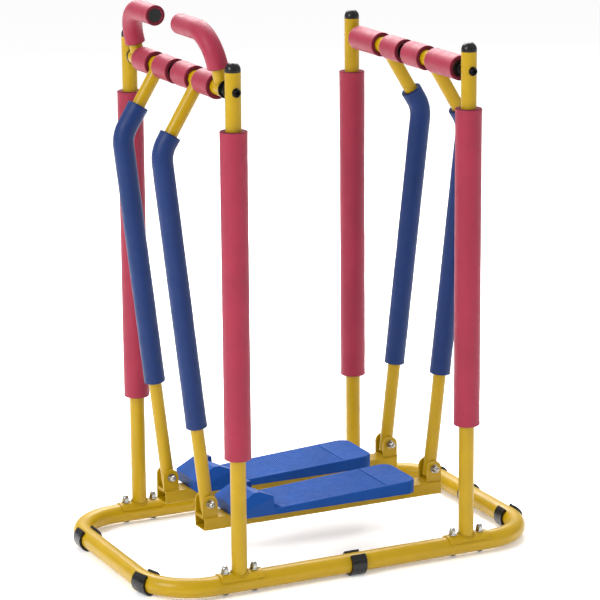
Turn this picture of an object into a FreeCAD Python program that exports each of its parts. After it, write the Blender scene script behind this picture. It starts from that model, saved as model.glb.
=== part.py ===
import FreeCAD, Part
import math
import os

# Children's free-standing air walker: a closed tube base, four posts, two axles, four
# swinging arms and two pedals. Millimetres, +Z up, origin on the floor under the middle.
# Front (-X) is the end with the handles. Left (-Y) and right (+Y) are the user's own
# left and right when they stand on the pedals and look over the handles.

V = FreeCAD.Vector
X_AXIS, Y_AXIS, Z_AXIS = V(1, 0, 0), V(0, 1, 0), V(0, 0, 1)

# Clearances
SNUG = 0.05             # radial gap of a fitted pin, bush, plug or screw
FOAM_GAP = 0.3          # radial gap between a foam sleeve and its tube
OPEN_PIVOT_GAP = 0.3    # radial gap of the rear pedal pivots, where the linkage is open
SIDE_GAP = 0.4          # gap beside a turning flange, bush or arm end

# Base rail
RAIL_DIA = 38.0
RAIL_WALL = 2.0
BASE_HALF_LENGTH = 404.0    # middle of the base to the centre line of an end tube
BASE_HALF_WIDTH = 243.0     # middle of the base to the centre line of a side rail
BEND_RADIUS = 107.0         # centre line radius of the four base bends
JOINT_SLEEVE_LENGTH = 120.0
JOINT_SLEEVE_WALL = 2.5

# Clip feet
CLIP_WALL = 5.5
CLIP_SOLE = 4.5             # plastic left under the rail
CLIP_WIDTH = 31.0
CLIP_OPENING = 70.0         # degrees left open over the top of the rail
# Middle of each corner clip, from the start of its bend towards the side rail
CORNER_CLIPS = {"front_left": 26.0, "front_right": -7.0, "rear_left": -2.0, "rear_right": 33.0}
NARROW_CLIP_WIDTH = 12.0
NARROW_CLIP_Y = 28.0        # on the rear end tube

# Posts and their saddles
POST_DIA = 30.0
POST_WALL = 1.5
POST_ABOVE_AXLE = 36.0      # axle centre to the top of the post tube
SADDLE_WALL = 3.0
SADDLE_LENGTH = 88.0
SADDLE_TO_BEND = 8.0        # straight rail left between a saddle and the base bend
SADDLE_HALF_ANGLE = 65.0
WELD_BEAD = 3.0
SADDLE_BOLT_OFFSET = 30.0   # bolt to post centre, along the rail
SADDLE_BOLT_DIA = 8.0
SADDLE_BOLT_HEAD_DIA = 14.0
SADDLE_BOLT_HEAD_TOP_DIA = 10.0
SADDLE_BOLT_HEAD_HEIGHT = 1.5
POST_CAP_RIM = 3.5
POST_CAP_PLUG = 16.0

# Cap nuts and washers, M8
NUT_FLATS = 13.0
NUT_HEX_HEIGHT = 7.0
NUT_DOME_DIA = 12.4
NUT_NECK = 1.0              # straight stretch under the dome, inside the hexagon
NUT_CHAMFER = 0.6
WASHER_DIA = 16.0
WASHER_HEIGHT = 1.6

# Foam sleeves
POST_FOAM_DIA = 51.0
POST_FOAM_BELOW_AXLE = 72.0
# Height of the bottom of each post sleeve
POST_FOAM_BOTTOM = {"front_left": 267.0, "front_right": 267.0,
                    "rear_left": 267.0, "rear_right": 249.0}
ROLL_DIA = 48.0
ARM_FOAM_DIA = 41.0
HANDLE_FOAM_DIA = 39.0
FOAM_EDGE = 2.0             # rounding of foam ends

# Axles and hubs
AXLE_Z = 963.0
AXLE_DIA = 20.0
AXLE_SCREW_DIA = 10.0
AXLE_SCREW_DEPTH = 26.0     # thread length inside the axle end
AXLE_BORE_SPARE = 4.0       # bore left empty beyond the end of the screw
AXLE_HEAD_DIA = 17.5
AXLE_HEAD_HEIGHT = 6.0
AXLE_HEX_SOCKET = 6.0
AXLE_SOCKET_FLOOR = 2.0     # metal left under the hexagon socket
HUB_DIA = 32.0
HUB_WALL = 2.5
HUB_INNER_END = 15.0        # distance of a hub's inner end from the middle
HUB_TO_POST = 15.0          # room for the outer bush flange and its spacer
OUTER_FLANGE_DIA = 34.0
INNER_FLANGE_DIA = 31.0     # small enough to sit inside a roll
BUSH_FLANGE = 3.0
BUSH_LENGTH = 22.0
SPACER_DIA = 25.0

# Arms: an upper leg that leans out, a bend, and a lower leg that comes back in
ARM_DIA = 26.0
ARM_WALL = 2.0
ARM_Y = 94.0
ARM_BEND_OUT = 80.0         # corner of the arm, outwards of the axle
ARM_BEND_DROP = 131.0       # corner of the arm, below the axle
ARM_BEND_RADIUS = 60.0
ARM_TAIL = 17.0             # tube left below the pedal pivot
# Reach of each sleeve from the corner of its arm, up the upper leg and down the lower leg
ARM_FOAM_REACH = {"front_left": (38.0, 544.0), "front_right": (67.0, 499.0),
                  "rear_left": (39.0, 505.0), "rear_right": (46.0, 529.0)}

# Foam rolls on the hubs
INNER_ROLL_OVERHANG = 4.0   # beyond the inner end of the hub
ROLL_TO_ARM = 15.0          # from a roll's end to the centre line of the arm
ROLL_TO_HANDLE = 19.0       # from a front outer roll to the centre line of the handle
OUTER_ROLL_INSET = 0.5      # from the outer end of the hub, at the rear

# Handles
HANDLE_INSET = 17.0         # handle centre line, from the outer end of the hub
HANDLE_LEAN = 12.0          # degrees, away from the user
HANDLE_RISE = 104.0         # axle centre to grip centre line, along the lean
HANDLE_BEND_RADIUS = 62.0
HANDLE_TIP_Y = 60.5
HANDLE_FOAM_BELOW_BEND = {"left": 4.0, "right": 12.0}
GRIP_OVERHANG = 3.0         # grip beyond the end of the handle tube
TIP_PLUG_DEPTH = 14.0
TIP_PLUG_FLANGE = 1.5

# Pedals
PEDAL_PIVOT_Z = 140.0
BEAM_TAIL = 14.0            # beam beyond the pivots
BEAM_WIDTH = 45.0
BEAM_HEIGHT = 25.0
BEAM_WALL = 2.0
PIVOT_ABOVE_BEAM = 27.0
EAR_RADIUS = 16.0
EAR_WALL = 4.0
PIVOT_BUSH_STANDOUT = 0.6   # bush beyond the arm's side, so that the arm clears the ears
PIVOT_BUSH_DIA = 14.0
PIVOT_BOLT_DIA = 8.0
PIVOT_HEAD_DIA = 14.0
PIVOT_HEAD_HEIGHT = 4.5

# Treads
TOE_TO_PIVOT = 40.0
HEEL_TO_PIVOT = 61.0
TREAD_TOE_HALF_WIDTH = 58.0
TREAD_HEEL_HALF_WIDTH = 65.0
TREAD_TOE_THICKNESS = 12.0      # at the foot of the toe block
TREAD_HEEL_THICKNESS = 26.5
TREAD_TOE_CORNER = 12.0
TREAD_HEEL_CORNER = 24.0
TREAD_EDGE = 3.0
# Toe block: distances back from the toe end, and heights above the beam
TOE_BLOCK_LENGTH = 78.0
TOE_NOSE_HEIGHT = 21.0
TOE_CREST_FRONT = 40.0
TOE_CREST_REAR = 52.0
TOE_CREST_HEIGHT = 46.0
TOE_CREST_SLOPE = 1.0           # how much lower the front of the crest is
TOE_CHEEK = 75.0
TOE_CHEEK_HEIGHT = 38.0
TOE_SHOULDER = 33.0             # where the bevel at the side drops to the nose height
TOE_SHOULDER_INSET = 10.0       # how far that bevel reaches in at the crest
POCKET_RADIUS = 46.0
POCKET_CENTRE = 93.0
GUSSET_LENGTH = 22.0
GUSSET_WIDTH = 14.0
GUSSET_HEIGHT = 11.0
GUSSET_OVERLAP = 3.0        # how far a gusset runs into the toe block
GUSSET_STANDOUT = 1.0       # how far it stands beyond the side of the board
GUSSET_ROOT = 2.0           # how deep it is sunk into the board
TREAD_SCREW_DIA = 6.0
TREAD_SCREW_HEAD_DIA = 11.0
TREAD_SCREW_HEAD_TOP_DIA = 7.0
TREAD_SCREW_HEAD_HEIGHT = 3.0
TREAD_SCREW_BITE = 8.0
TREAD_SCREW_SPARE = 0.5     # hole left empty beyond the tip of a screw
TREAD_SCREWS_FROM_TOE = (20.0, 145.0)
TREAD_SCREWS_FROM_HEEL = (134.0, 34.0)

# Sizes that follow from the ones above
RAIL_R = RAIL_DIA / 2
RAIL_Z = CLIP_SOLE + RAIL_R
SADDLE_TOP_R = RAIL_R + SADDLE_WALL
POST_R = POST_DIA / 2
HUB_R = HUB_DIA / 2
ARM_R = ARM_DIA / 2
POST_X = BASE_HALF_LENGTH - BEND_RADIUS - SADDLE_TO_BEND - SADDLE_LENGTH / 2
POST_TOP = AXLE_Z + POST_ABOVE_AXLE
BEND_START_Y = BASE_HALF_WIDTH - BEND_RADIUS
AXLE_END = BASE_HALF_WIDTH - POST_R
HUB_OUTER_END = AXLE_END - HUB_TO_POST
HANDLE_Y = HUB_OUTER_END - HANDLE_INSET
BEAM_HALF_LENGTH = POST_X + BEAM_TAIL
BEAM_TOP = PEDAL_PIVOT_Z - PIVOT_ABOVE_BEAM
BEAM_BOTTOM = BEAM_TOP - BEAM_HEIGHT
EAR_INNER = ARM_R + PIVOT_BUSH_STANDOUT + SIDE_GAP
EAR_OUTER = EAR_INNER + EAR_WALL
ENDS = {"front": -1, "rear": 1}
SIDES = {"left": -1, "right": 1}
HEX_TURNS = [60.0 * step for step in range(6)]
TREAD_TOE_X = TOE_TO_PIVOT - POST_X
TREAD_HEEL_X = POST_X - HEEL_TO_PIVOT
TOE_FOOT_X = TREAD_TOE_X + TOE_BLOCK_LENGTH
TREAD_SCREW_XS = ([TREAD_TOE_X + reach for reach in TREAD_SCREWS_FROM_TOE]
                  + [TREAD_HEEL_X - reach for reach in TREAD_SCREWS_FROM_HEEL])


def save(name, *solids):
    shape = solids[0] if len(solids) == 1 else Part.makeCompound(list(solids))
    shape.exportStep("parts/" + name + ".step")


def ring(outer_r, inner_r, length, base, direction):
    """Straight tube or washer."""
    outer = Part.makeCylinder(outer_r, length, base, direction)
    return outer.cut(Part.makeCylinder(inner_r, length, base, direction))


def across(x, y0, y1, z, outer_r, inner_r=0.0):
    """Rod or tube along Y between two Y positions."""
    base = V(x, min(y0, y1), z)
    if inner_r:
        return ring(outer_r, inner_r, abs(y1 - y0), base, Y_AXIS)
    return Part.makeCylinder(outer_r, abs(y1 - y0), base, Y_AXIS)


def prism(points, direction):
    """Straight-sided solid from a closed outline."""
    return Part.Face(Part.makePolygon(points + [points[0]])).extrude(direction)


def sweep(path, radius):
    """Round rod that follows a path of tangent lines and arcs."""
    start = path.Edges[0]
    tangent = start.tangentAt(start.FirstParameter)
    circle = Part.Circle(start.valueAt(start.FirstParameter), tangent, radius)
    return path.makePipeShell([Part.Wire(circle.toShape())], True, False)


def tube_along(path, outer_r, inner_r):
    return sweep(path, outer_r).cut(sweep(path, inner_r))


def bend(before, corner, after, radius):
    """Arc that rounds a corner between two straight legs, with its two end points."""
    to_before = (before - corner).normalize()
    to_after = (after - corner).normalize()
    half = to_before.getAngle(to_after) / 2
    reach = radius / math.tan(half)
    start = corner + to_before * reach
    end = corner + to_after * reach
    middle_line = (to_before + to_after).normalize()
    middle = corner + middle_line * (radius / math.sin(half) - radius)
    return start, Part.Arc(start, middle, end).toShape(), end


def bent_path(before, corner, after, radius):
    start, arc, end = bend(before, corner, after, radius)
    return Part.Wire([Part.makeLine(before, start), arc, Part.makeLine(end, after)])


def hex_prism(centre, direction, side, flats, height):
    """Hexagon bar; side points at one of its corners."""
    reach = flats / math.sqrt(3)
    turns = [FreeCAD.Rotation(direction, angle) for angle in HEX_TURNS]
    return prism([centre + turn.multVec(side) * reach for turn in turns], direction * height)


def cap_nut(x, y, z, direction):
    """Hexagon with a domed end, standing on its washer, hollow for its stud."""
    washer = ring(WASHER_DIA / 2, SADDLE_BOLT_DIA / 2 + SNUG, WASHER_HEIGHT, V(x, y, z), direction)
    seat = V(x, y, z) + direction * WASHER_HEIGHT
    side = Z_AXIS if abs(direction.z) < 0.5 else X_AXIS
    hexagon = hex_prism(seat, direction, side, NUT_FLATS, NUT_HEX_HEIGHT)
    shoulder = Part.makeCone(NUT_FLATS / 2 + NUT_HEX_HEIGHT, NUT_FLATS / 2 - NUT_CHAMFER,
                             NUT_HEX_HEIGHT + NUT_CHAMFER, seat, direction)
    hexagon = hexagon.common(shoulder)
    top = seat + direction * NUT_HEX_HEIGHT
    dome = Part.makeSphere(NUT_DOME_DIA / 2, top)
    dome = dome.common(Part.makeCylinder(NUT_DOME_DIA, NUT_DOME_DIA, top, direction))
    neck = Part.makeCylinder(NUT_DOME_DIA / 2, NUT_NECK, top - direction * NUT_NECK, direction)
    nut = hexagon.fuse(neck).fuse(dome)
    bore = Part.makeCylinder(SADDLE_BOLT_DIA / 2 + SNUG, NUT_HEX_HEIGHT + NUT_NECK, seat, direction)
    return [washer, nut.cut(bore).removeSplitter()]


def stud_reach():
    """Length of stud that stands inside a washer and cap nut."""
    return WASHER_HEIGHT + NUT_HEX_HEIGHT


# Base

def base_half(end):
    """One U-bent half of the base, from the middle of one side rail to the other."""
    s = ENDS[end]
    corner_x = s * BASE_HALF_LENGTH
    joint_left = V(0, -BASE_HALF_WIDTH, RAIL_Z)
    joint_right = V(0, BASE_HALF_WIDTH, RAIL_Z)
    corner_left = V(corner_x, -BASE_HALF_WIDTH, RAIL_Z)
    corner_right = V(corner_x, BASE_HALF_WIDTH, RAIL_Z)
    a0, arc_a, a1 = bend(joint_left, corner_left, corner_right, BEND_RADIUS)
    b0, arc_b, b1 = bend(corner_left, corner_right, joint_right, BEND_RADIUS)
    path = Part.Wire([Part.makeLine(joint_left, a0), arc_a, Part.makeLine(a1, b0), arc_b,
                      Part.makeLine(b1, joint_right)])
    half = tube_along(path, RAIL_R, RAIL_R - RAIL_WALL)
    for side in SIDES.values():
        for offset in (-SADDLE_BOLT_OFFSET, SADDLE_BOLT_OFFSET):
            place = V(s * POST_X + offset, side * BASE_HALF_WIDTH, 0)
            half = half.cut(Part.makeCylinder(SADDLE_BOLT_DIA / 2 + SNUG, RAIL_DIA * 2, place))
    return half


def joint_sleeves():
    """Inner tubes that join the two base halves."""
    outer_r = RAIL_R - RAIL_WALL - SNUG
    sleeves = []
    for side in SIDES.values():
        start = V(-JOINT_SLEEVE_LENGTH / 2, side * BASE_HALF_WIDTH, RAIL_Z)
        sleeves.append(ring(outer_r, outer_r - JOINT_SLEEVE_WALL, JOINT_SLEEVE_LENGTH, start, X_AXIS))
    return sleeves


def clip_profile(centre, outward):
    """C-shaped section of a clip foot, open over the rail, flat where it stands."""
    outer_r = RAIL_R + CLIP_WALL
    lip = math.radians(180 - CLIP_OPENING / 2)
    sole = math.acos(RAIL_Z / outer_r)

    def at(radius, angle):
        return centre + outward * (radius * math.sin(angle)) - Z_AXIS * (radius * math.cos(angle))

    edges = [Part.Arc(at(RAIL_R, -lip), at(RAIL_R, 0), at(RAIL_R, lip)).toShape(),
             Part.makeLine(at(RAIL_R, lip), at(outer_r, lip)),
             Part.Arc(at(outer_r, lip), at(outer_r, (lip + sole) / 2), at(outer_r, sole)).toShape(),
             Part.makeLine(at(outer_r, sole), at(outer_r, -sole)),
             Part.Arc(at(outer_r, -sole), at(outer_r, -(lip + sole) / 2), at(outer_r, -lip)).toShape(),
             Part.makeLine(at(outer_r, -lip), at(RAIL_R, -lip))]
    return Part.Face(Part.Wire(edges))


def corner_clip(end, side):
    """Clip foot across the start of a base bend: a straight part, a bent part or both."""
    s, t = ENDS[end], SIDES[side]
    middle = CORNER_CLIPS[end + "_" + side]
    begin, finish = middle - CLIP_WIDTH / 2, middle + CLIP_WIDTH / 2
    start = V(s * BASE_HALF_LENGTH, t * BEND_START_Y, RAIL_Z)
    face = clip_profile(start, V(s, 0, 0))
    parts = []
    if begin < 0:
        straight = face.extrude(V(0, t * (min(finish, 0) - begin), 0))
        straight.translate(V(0, t * begin, 0))
        parts.append(straight)
    if finish > 0:
        pivot = start - V(s * BEND_RADIUS, 0, 0)
        bent = face.revolve(pivot, V(0, 0, s * t), math.degrees((finish - max(begin, 0)) / BEND_RADIUS))
        bent.rotate(pivot, V(0, 0, s * t), math.degrees(max(begin, 0) / BEND_RADIUS))
        parts.append(bent)
    return parts[0] if len(parts) == 1 else parts[0].fuse(parts[1]).removeSplitter()


def clip_feet():
    feet = [corner_clip(end, side) for end in ENDS for side in SIDES]
    face = clip_profile(V(BASE_HALF_LENGTH, NARROW_CLIP_Y - NARROW_CLIP_WIDTH / 2, RAIL_Z), X_AXIS)
    feet.append(face.extrude(V(0, NARROW_CLIP_WIDTH, 0)))
    # Over the joint in each side rail
    for side in SIDES:
        face = clip_profile(V(-CLIP_WIDTH / 2, SIDES[side] * BASE_HALF_WIDTH, RAIL_Z), Y_AXIS)
        feet.append(face.extrude(V(CLIP_WIDTH, 0, 0)))
    return feet


# Posts

def saddle_blank():
    """Curved plate that lies on the rail, centred on the origin of its rail stretch."""
    half = math.radians(SADDLE_HALF_ANGLE)

    def at(radius, angle):
        return V(-SADDLE_LENGTH / 2, radius * math.sin(angle), radius * math.cos(angle))

    edges = [Part.Arc(at(RAIL_R, -half), at(RAIL_R, 0), at(RAIL_R, half)).toShape(),
             Part.makeLine(at(RAIL_R, half), at(SADDLE_TOP_R, half)),
             Part.Arc(at(SADDLE_TOP_R, half), at(SADDLE_TOP_R, 0), at(SADDLE_TOP_R, -half)).toShape(),
             Part.makeLine(at(SADDLE_TOP_R, -half), at(RAIL_R, -half))]
    return Part.Face(Part.Wire(edges)).extrude(V(SADDLE_LENGTH, 0, 0))


def post(end, side):
    """Upright tube welded to its saddle, drilled for the axle screw and the saddle bolts."""
    place = V(ENDS[end] * POST_X, SIDES[side] * BASE_HALF_WIDTH, RAIL_Z)
    height = POST_TOP - RAIL_Z
    rod = Part.makeCylinder(POST_R, height).fuse(saddle_blank())
    seam = [e for e in rod.Edges if e.BoundBox.ZMax < SADDLE_TOP_R + 1 and e.BoundBox.ZMin > 0
            and abs(e.BoundBox.XLength - POST_DIA) < 0.5 and abs(e.BoundBox.YLength - POST_DIA) < 0.5]
    body = rod.makeFillet(WELD_BEAD, seam)
    body = body.cut(Part.makeCylinder(RAIL_R, SADDLE_LENGTH, V(-SADDLE_LENGTH / 2, 0, 0), X_AXIS))
    body = body.cut(Part.makeCylinder(POST_R - POST_WALL, height))
    for offset in (-SADDLE_BOLT_OFFSET, SADDLE_BOLT_OFFSET):
        body = body.cut(Part.makeCylinder(SADDLE_BOLT_DIA / 2 + SNUG, RAIL_DIA, V(offset, 0, 0)))
    hole = Part.makeCylinder(AXLE_SCREW_DIA / 2 + SNUG, POST_DIA * 2,
                             V(0, -POST_DIA, AXLE_Z - RAIL_Z), Y_AXIS)
    body = body.cut(hole)
    body.translate(place)
    return body


def post_cap(end, side):
    """Domed plastic cap with a plug that sits in the top of the post."""
    place = V(ENDS[end] * POST_X, SIDES[side] * BASE_HALF_WIDTH, POST_TOP)
    rim = Part.makeCylinder(POST_R, POST_CAP_RIM)
    dome = Part.makeSphere(POST_R, V(0, 0, POST_CAP_RIM))
    dome = dome.common(Part.makeCylinder(POST_DIA, POST_DIA, V(0, 0, POST_CAP_RIM)))
    plug = Part.makeCylinder(POST_R - POST_WALL - SNUG, POST_CAP_PLUG, V(0, 0, -POST_CAP_PLUG))
    cap = rim.fuse(dome).fuse(plug).removeSplitter()
    cap.translate(place)
    return cap


def saddle_bolts():
    """Low-headed bolts that come up through the rail and the saddle."""
    bolts = []
    top = RAIL_Z + SADDLE_TOP_R + stud_reach()
    for s in ENDS.values():
        for side in SIDES.values():
            for offset in (-SADDLE_BOLT_OFFSET, SADDLE_BOLT_OFFSET):
                place = V(s * POST_X + offset, side * BASE_HALF_WIDTH, CLIP_SOLE)
                shank = Part.makeCylinder(SADDLE_BOLT_DIA / 2, top - CLIP_SOLE, place)
                head_base = place - Z_AXIS * SADDLE_BOLT_HEAD_HEIGHT
                head = Part.makeCone(SADDLE_BOLT_HEAD_TOP_DIA / 2, SADDLE_BOLT_HEAD_DIA / 2,
                                     SADDLE_BOLT_HEAD_HEIGHT, head_base)
                bolts.append(shank.fuse(head).removeSplitter())
    return bolts


def saddle_nuts():
    nuts = []
    for s in ENDS.values():
        for side in SIDES.values():
            for offset in (-SADDLE_BOLT_OFFSET, SADDLE_BOLT_OFFSET):
                nuts += cap_nut(s * POST_X + offset, side * BASE_HALF_WIDTH,
                                RAIL_Z + SADDLE_TOP_R, Z_AXIS)
    return nuts


def foam(path_or_length, outer_dia, tube_dia, base=None, direction=None):
    """Foam sleeve with rounded ends, straight or along a path."""
    inner_r = tube_dia / 2 + FOAM_GAP
    if base is None:
        sleeve = tube_along(path_or_length, outer_dia / 2, inner_r)
    else:
        sleeve = ring(outer_dia / 2, inner_r, path_or_length, base, direction)
    rims = [e for e in sleeve.Edges if isinstance(e.Curve, Part.Circle)
            and e.isClosed() and abs(e.Curve.Radius - outer_dia / 2) < 0.01]
    ends = [rims[0], rims[-1]]
    return sleeve.makeFillet(FOAM_EDGE, ends)


def post_foam(end, side):
    bottom = POST_FOAM_BOTTOM[end + "_" + side]
    base = V(ENDS[end] * POST_X, SIDES[side] * BASE_HALF_WIDTH, bottom)
    return foam(AXLE_Z - POST_FOAM_BELOW_AXLE - bottom, POST_FOAM_DIA, POST_DIA, base, Z_AXIS)


# Axles

def axle(end):
    """Bar between two posts, bored at both ends for its screws."""
    x = ENDS[end] * POST_X
    bar = across(x, -AXLE_END, AXLE_END, AXLE_Z, AXLE_DIA / 2)
    for side in SIDES.values():
        inner = side * (AXLE_END - AXLE_SCREW_DEPTH - AXLE_BORE_SPARE)
        bar = bar.cut(across(x, inner, side * AXLE_END, AXLE_Z, AXLE_SCREW_DIA / 2 + SNUG))
    return bar


def axle_screws():
    """Button-headed screws that clamp each post to the end of its axle."""
    screws = []
    for s in ENDS.values():
        for side in SIDES.values():
            x = s * POST_X
            seat = side * (BASE_HALF_WIDTH + POST_R)
            outward = V(0, side, 0)
            shank = across(x, side * (AXLE_END - AXLE_SCREW_DEPTH), seat, AXLE_Z, AXLE_SCREW_DIA / 2)
            head = Part.makeSphere(AXLE_HEAD_DIA / 2, V(x, seat, AXLE_Z))
            head = head.common(Part.makeCylinder(AXLE_HEAD_DIA / 2, AXLE_HEAD_HEIGHT,
                                                 V(x, seat, AXLE_Z), outward))
            floor = V(x, seat + side * AXLE_SOCKET_FLOOR, AXLE_Z)
            head = head.cut(hex_prism(floor, outward, X_AXIS, AXLE_HEX_SOCKET, AXLE_HEAD_HEIGHT))
            screws.append(head.fuse(shank).removeSplitter())
    return screws


def axle_spacers(end):
    """Plastic rings that keep the hubs off the posts and off each other."""
    x = ENDS[end] * POST_X
    bore = AXLE_DIA / 2 + SNUG
    outer_face = HUB_OUTER_END + BUSH_FLANGE + SIDE_GAP
    inner_face = HUB_INNER_END - BUSH_FLANGE - SIDE_GAP
    rings = [across(x, -inner_face, inner_face, AXLE_Z, SPACER_DIA / 2, bore)]
    for side in SIDES.values():
        rings.append(across(x, side * outer_face, side * AXLE_END, AXLE_Z, SPACER_DIA / 2, bore))
    return rings


# Arms

def arm_corner(end, side):
    """Top, bend corner and pedal pivot of an arm's centre line."""
    s = ENDS[end]
    y = SIDES[side] * ARM_Y
    top = V(s * POST_X, y, AXLE_Z)
    corner = V(s * (POST_X + ARM_BEND_OUT), y, AXLE_Z - ARM_BEND_DROP)
    pivot = V(s * POST_X, y, PEDAL_PIVOT_Z)
    return top, corner, pivot


def handle_frame(side):
    """Foot and corner of a handle's centre line, and its tip."""
    lean = math.radians(HANDLE_LEAN)
    up = V(-math.sin(lean), 0, math.cos(lean))
    foot = V(-POST_X, SIDES[side] * HANDLE_Y, AXLE_Z)
    corner = foot + up * HANDLE_RISE
    tip = V(corner.x, SIDES[side] * HANDLE_TIP_Y, corner.z)
    return foot, corner, tip, up


def arm(end, side):
    """Hub tube with the bent arm welded on, and the handle on the front ones."""
    s, t = ENDS[end], SIDES[side]
    x = s * POST_X
    top, corner, pivot = arm_corner(end, side)
    down = (pivot - corner).normalize()
    path = bent_path(top, corner, pivot + down * ARM_TAIL, ARM_BEND_RADIUS)
    weldment = across(x, t * HUB_INNER_END, t * HUB_OUTER_END, AXLE_Z, HUB_R)
    weldment = weldment.fuse(sweep(path, ARM_R))
    hollow = sweep(path, ARM_R - ARM_WALL)
    if end == "front":
        foot, handle_corner, tip, up = handle_frame(side)
        handle_path = bent_path(foot, handle_corner, tip, HANDLE_BEND_RADIUS)
        weldment = weldment.fuse(sweep(handle_path, ARM_R))
        hollow = hollow.fuse(sweep(handle_path, ARM_R - ARM_WALL))
    hub_core = across(x, t * HUB_INNER_END, t * HUB_OUTER_END, AXLE_Z, HUB_R)
    weldment = weldment.cut(hollow.cut(hub_core))
    weldment = weldment.cut(across(x, 0, t * BASE_HALF_WIDTH, AXLE_Z, HUB_R - HUB_WALL))
    cross_hole = across(x, t * (ARM_Y - ARM_DIA), t * (ARM_Y + ARM_DIA), PEDAL_PIVOT_Z,
                        PIVOT_BUSH_DIA / 2 + SNUG)
    return weldment.cut(cross_hole)


def hub_bushes(end, side):
    """Flanged plastic bushes pressed into both ends of a hub."""
    x, t = ENDS[end] * POST_X, SIDES[side]
    bore = AXLE_DIA / 2 + SNUG
    body_r = HUB_R - HUB_WALL - SNUG
    bushes = []
    for face, inwards, flange_dia in ((HUB_INNER_END, 1, INNER_FLANGE_DIA),
                                      (HUB_OUTER_END, -1, OUTER_FLANGE_DIA)):
        flange = across(x, t * (face - inwards * BUSH_FLANGE), t * face, AXLE_Z, flange_dia / 2, bore)
        sleeve = across(x, t * face, t * (face + inwards * BUSH_LENGTH), AXLE_Z, body_r, bore)
        bushes.append(flange.fuse(sleeve).removeSplitter())
    return bushes


def hub_roll(end, side, start, finish):
    base = V(ENDS[end] * POST_X, start if SIDES[side] > 0 else -finish, AXLE_Z)
    return foam(finish - start, ROLL_DIA, HUB_DIA, base, Y_AXIS)


def inner_roll(end, side):
    return hub_roll(end, side, HUB_INNER_END - INNER_ROLL_OVERHANG, ARM_Y - ROLL_TO_ARM)


def outer_roll(end, side):
    finish = HANDLE_Y - ROLL_TO_HANDLE if end == "front" else HUB_OUTER_END - OUTER_ROLL_INSET
    return hub_roll(end, side, ARM_Y + ROLL_TO_ARM, finish)


def arm_foam(end, side):
    """Sleeve that follows the arm round its bend."""
    top, corner, pivot = arm_corner(end, side)
    above, below = ARM_FOAM_REACH[end + "_" + side]
    upper = corner + (top - corner).normalize() * above
    lower = corner + (pivot - corner).normalize() * below
    return foam(bent_path(upper, corner, lower, ARM_BEND_RADIUS), ARM_FOAM_DIA, ARM_DIA)


def pivot_bush(end, side):
    """Plastic bush across the foot of an arm, round the pedal bolt."""
    x, t = ENDS[end] * POST_X, SIDES[side]
    gap = OPEN_PIVOT_GAP if end == "rear" else SNUG
    half = ARM_R + PIVOT_BUSH_STANDOUT
    return across(x, t * ARM_Y - half, t * ARM_Y + half, PEDAL_PIVOT_Z, PIVOT_BUSH_DIA / 2,
                  PIVOT_BOLT_DIA / 2 + gap)


def handle_foam(side):
    foot, corner, tip, up = handle_frame(side)
    start = foot + up * (HANDLE_RISE - HANDLE_BEND_RADIUS - HANDLE_FOAM_BELOW_BEND[side])
    end = tip - V(0, SIDES[side] * GRIP_OVERHANG, 0)
    return foam(bent_path(start, corner, end, HANDLE_BEND_RADIUS), HANDLE_FOAM_DIA, ARM_DIA)


def handle_plug(side):
    """Plastic plug whose flange covers the end of a handle tube, inside the grip."""
    tip = handle_frame(side)[2]
    t = SIDES[side]
    flange = across(tip.x, tip.y - t * TIP_PLUG_FLANGE, tip.y, tip.z, ARM_R)
    stem = across(tip.x, tip.y, tip.y + t * TIP_PLUG_DEPTH, tip.z, ARM_R - ARM_WALL - SNUG)
    return flange.fuse(stem).removeSplitter()


# Pedals

def clevis(x, y):
    """U bracket: a web on the beam and two round-topped ears."""
    bracket = []
    for t in SIDES.values():
        inner = y + t * EAR_INNER
        outer = y + t * EAR_OUTER
        ear = across(x, inner, outer, PEDAL_PIVOT_Z, EAR_RADIUS)
        block = Part.makeBox(EAR_RADIUS * 2, EAR_WALL, PIVOT_ABOVE_BEAM,
                             V(x - EAR_RADIUS, min(inner, outer), BEAM_TOP))
        bracket.append(ear.fuse(block))
    web = Part.makeBox(EAR_RADIUS * 2, EAR_OUTER * 2, EAR_WALL,
                       V(x - EAR_RADIUS, y - EAR_OUTER, BEAM_TOP))
    bracket = web.fuse(bracket[0]).fuse(bracket[1])
    return bracket.cut(across(x, y - BEAM_WIDTH, y + BEAM_WIDTH, PEDAL_PIVOT_Z,
                              PIVOT_BOLT_DIA / 2 + SNUG))


def pedal_beam(side):
    """Rectangular tube, open at both ends, with a clevis welded on at each end."""
    y = SIDES[side] * ARM_Y
    length = BEAM_HALF_LENGTH * 2
    beam = Part.makeBox(length, BEAM_WIDTH, BEAM_HEIGHT,
                        V(-BEAM_HALF_LENGTH, y - BEAM_WIDTH / 2, BEAM_BOTTOM))
    corners = [e for e in beam.Edges if abs(e.BoundBox.XLength - length) < 0.01]
    beam = beam.makeFillet(BEAM_WALL, corners)
    bore = Part.makeBox(length, BEAM_WIDTH - 2 * BEAM_WALL, BEAM_HEIGHT - 2 * BEAM_WALL,
                        V(-BEAM_HALF_LENGTH, y - BEAM_WIDTH / 2 + BEAM_WALL, BEAM_BOTTOM + BEAM_WALL))
    beam = beam.cut(bore)
    for x in TREAD_SCREW_XS:
        beam = beam.cut(Part.makeCylinder(TREAD_SCREW_DIA / 2 + SNUG, BEAM_HEIGHT, V(x, y, BEAM_BOTTOM)))
    for s in ENDS.values():
        beam = beam.fuse(clevis(s * POST_X, y))
    return beam.removeSplitter()


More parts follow.
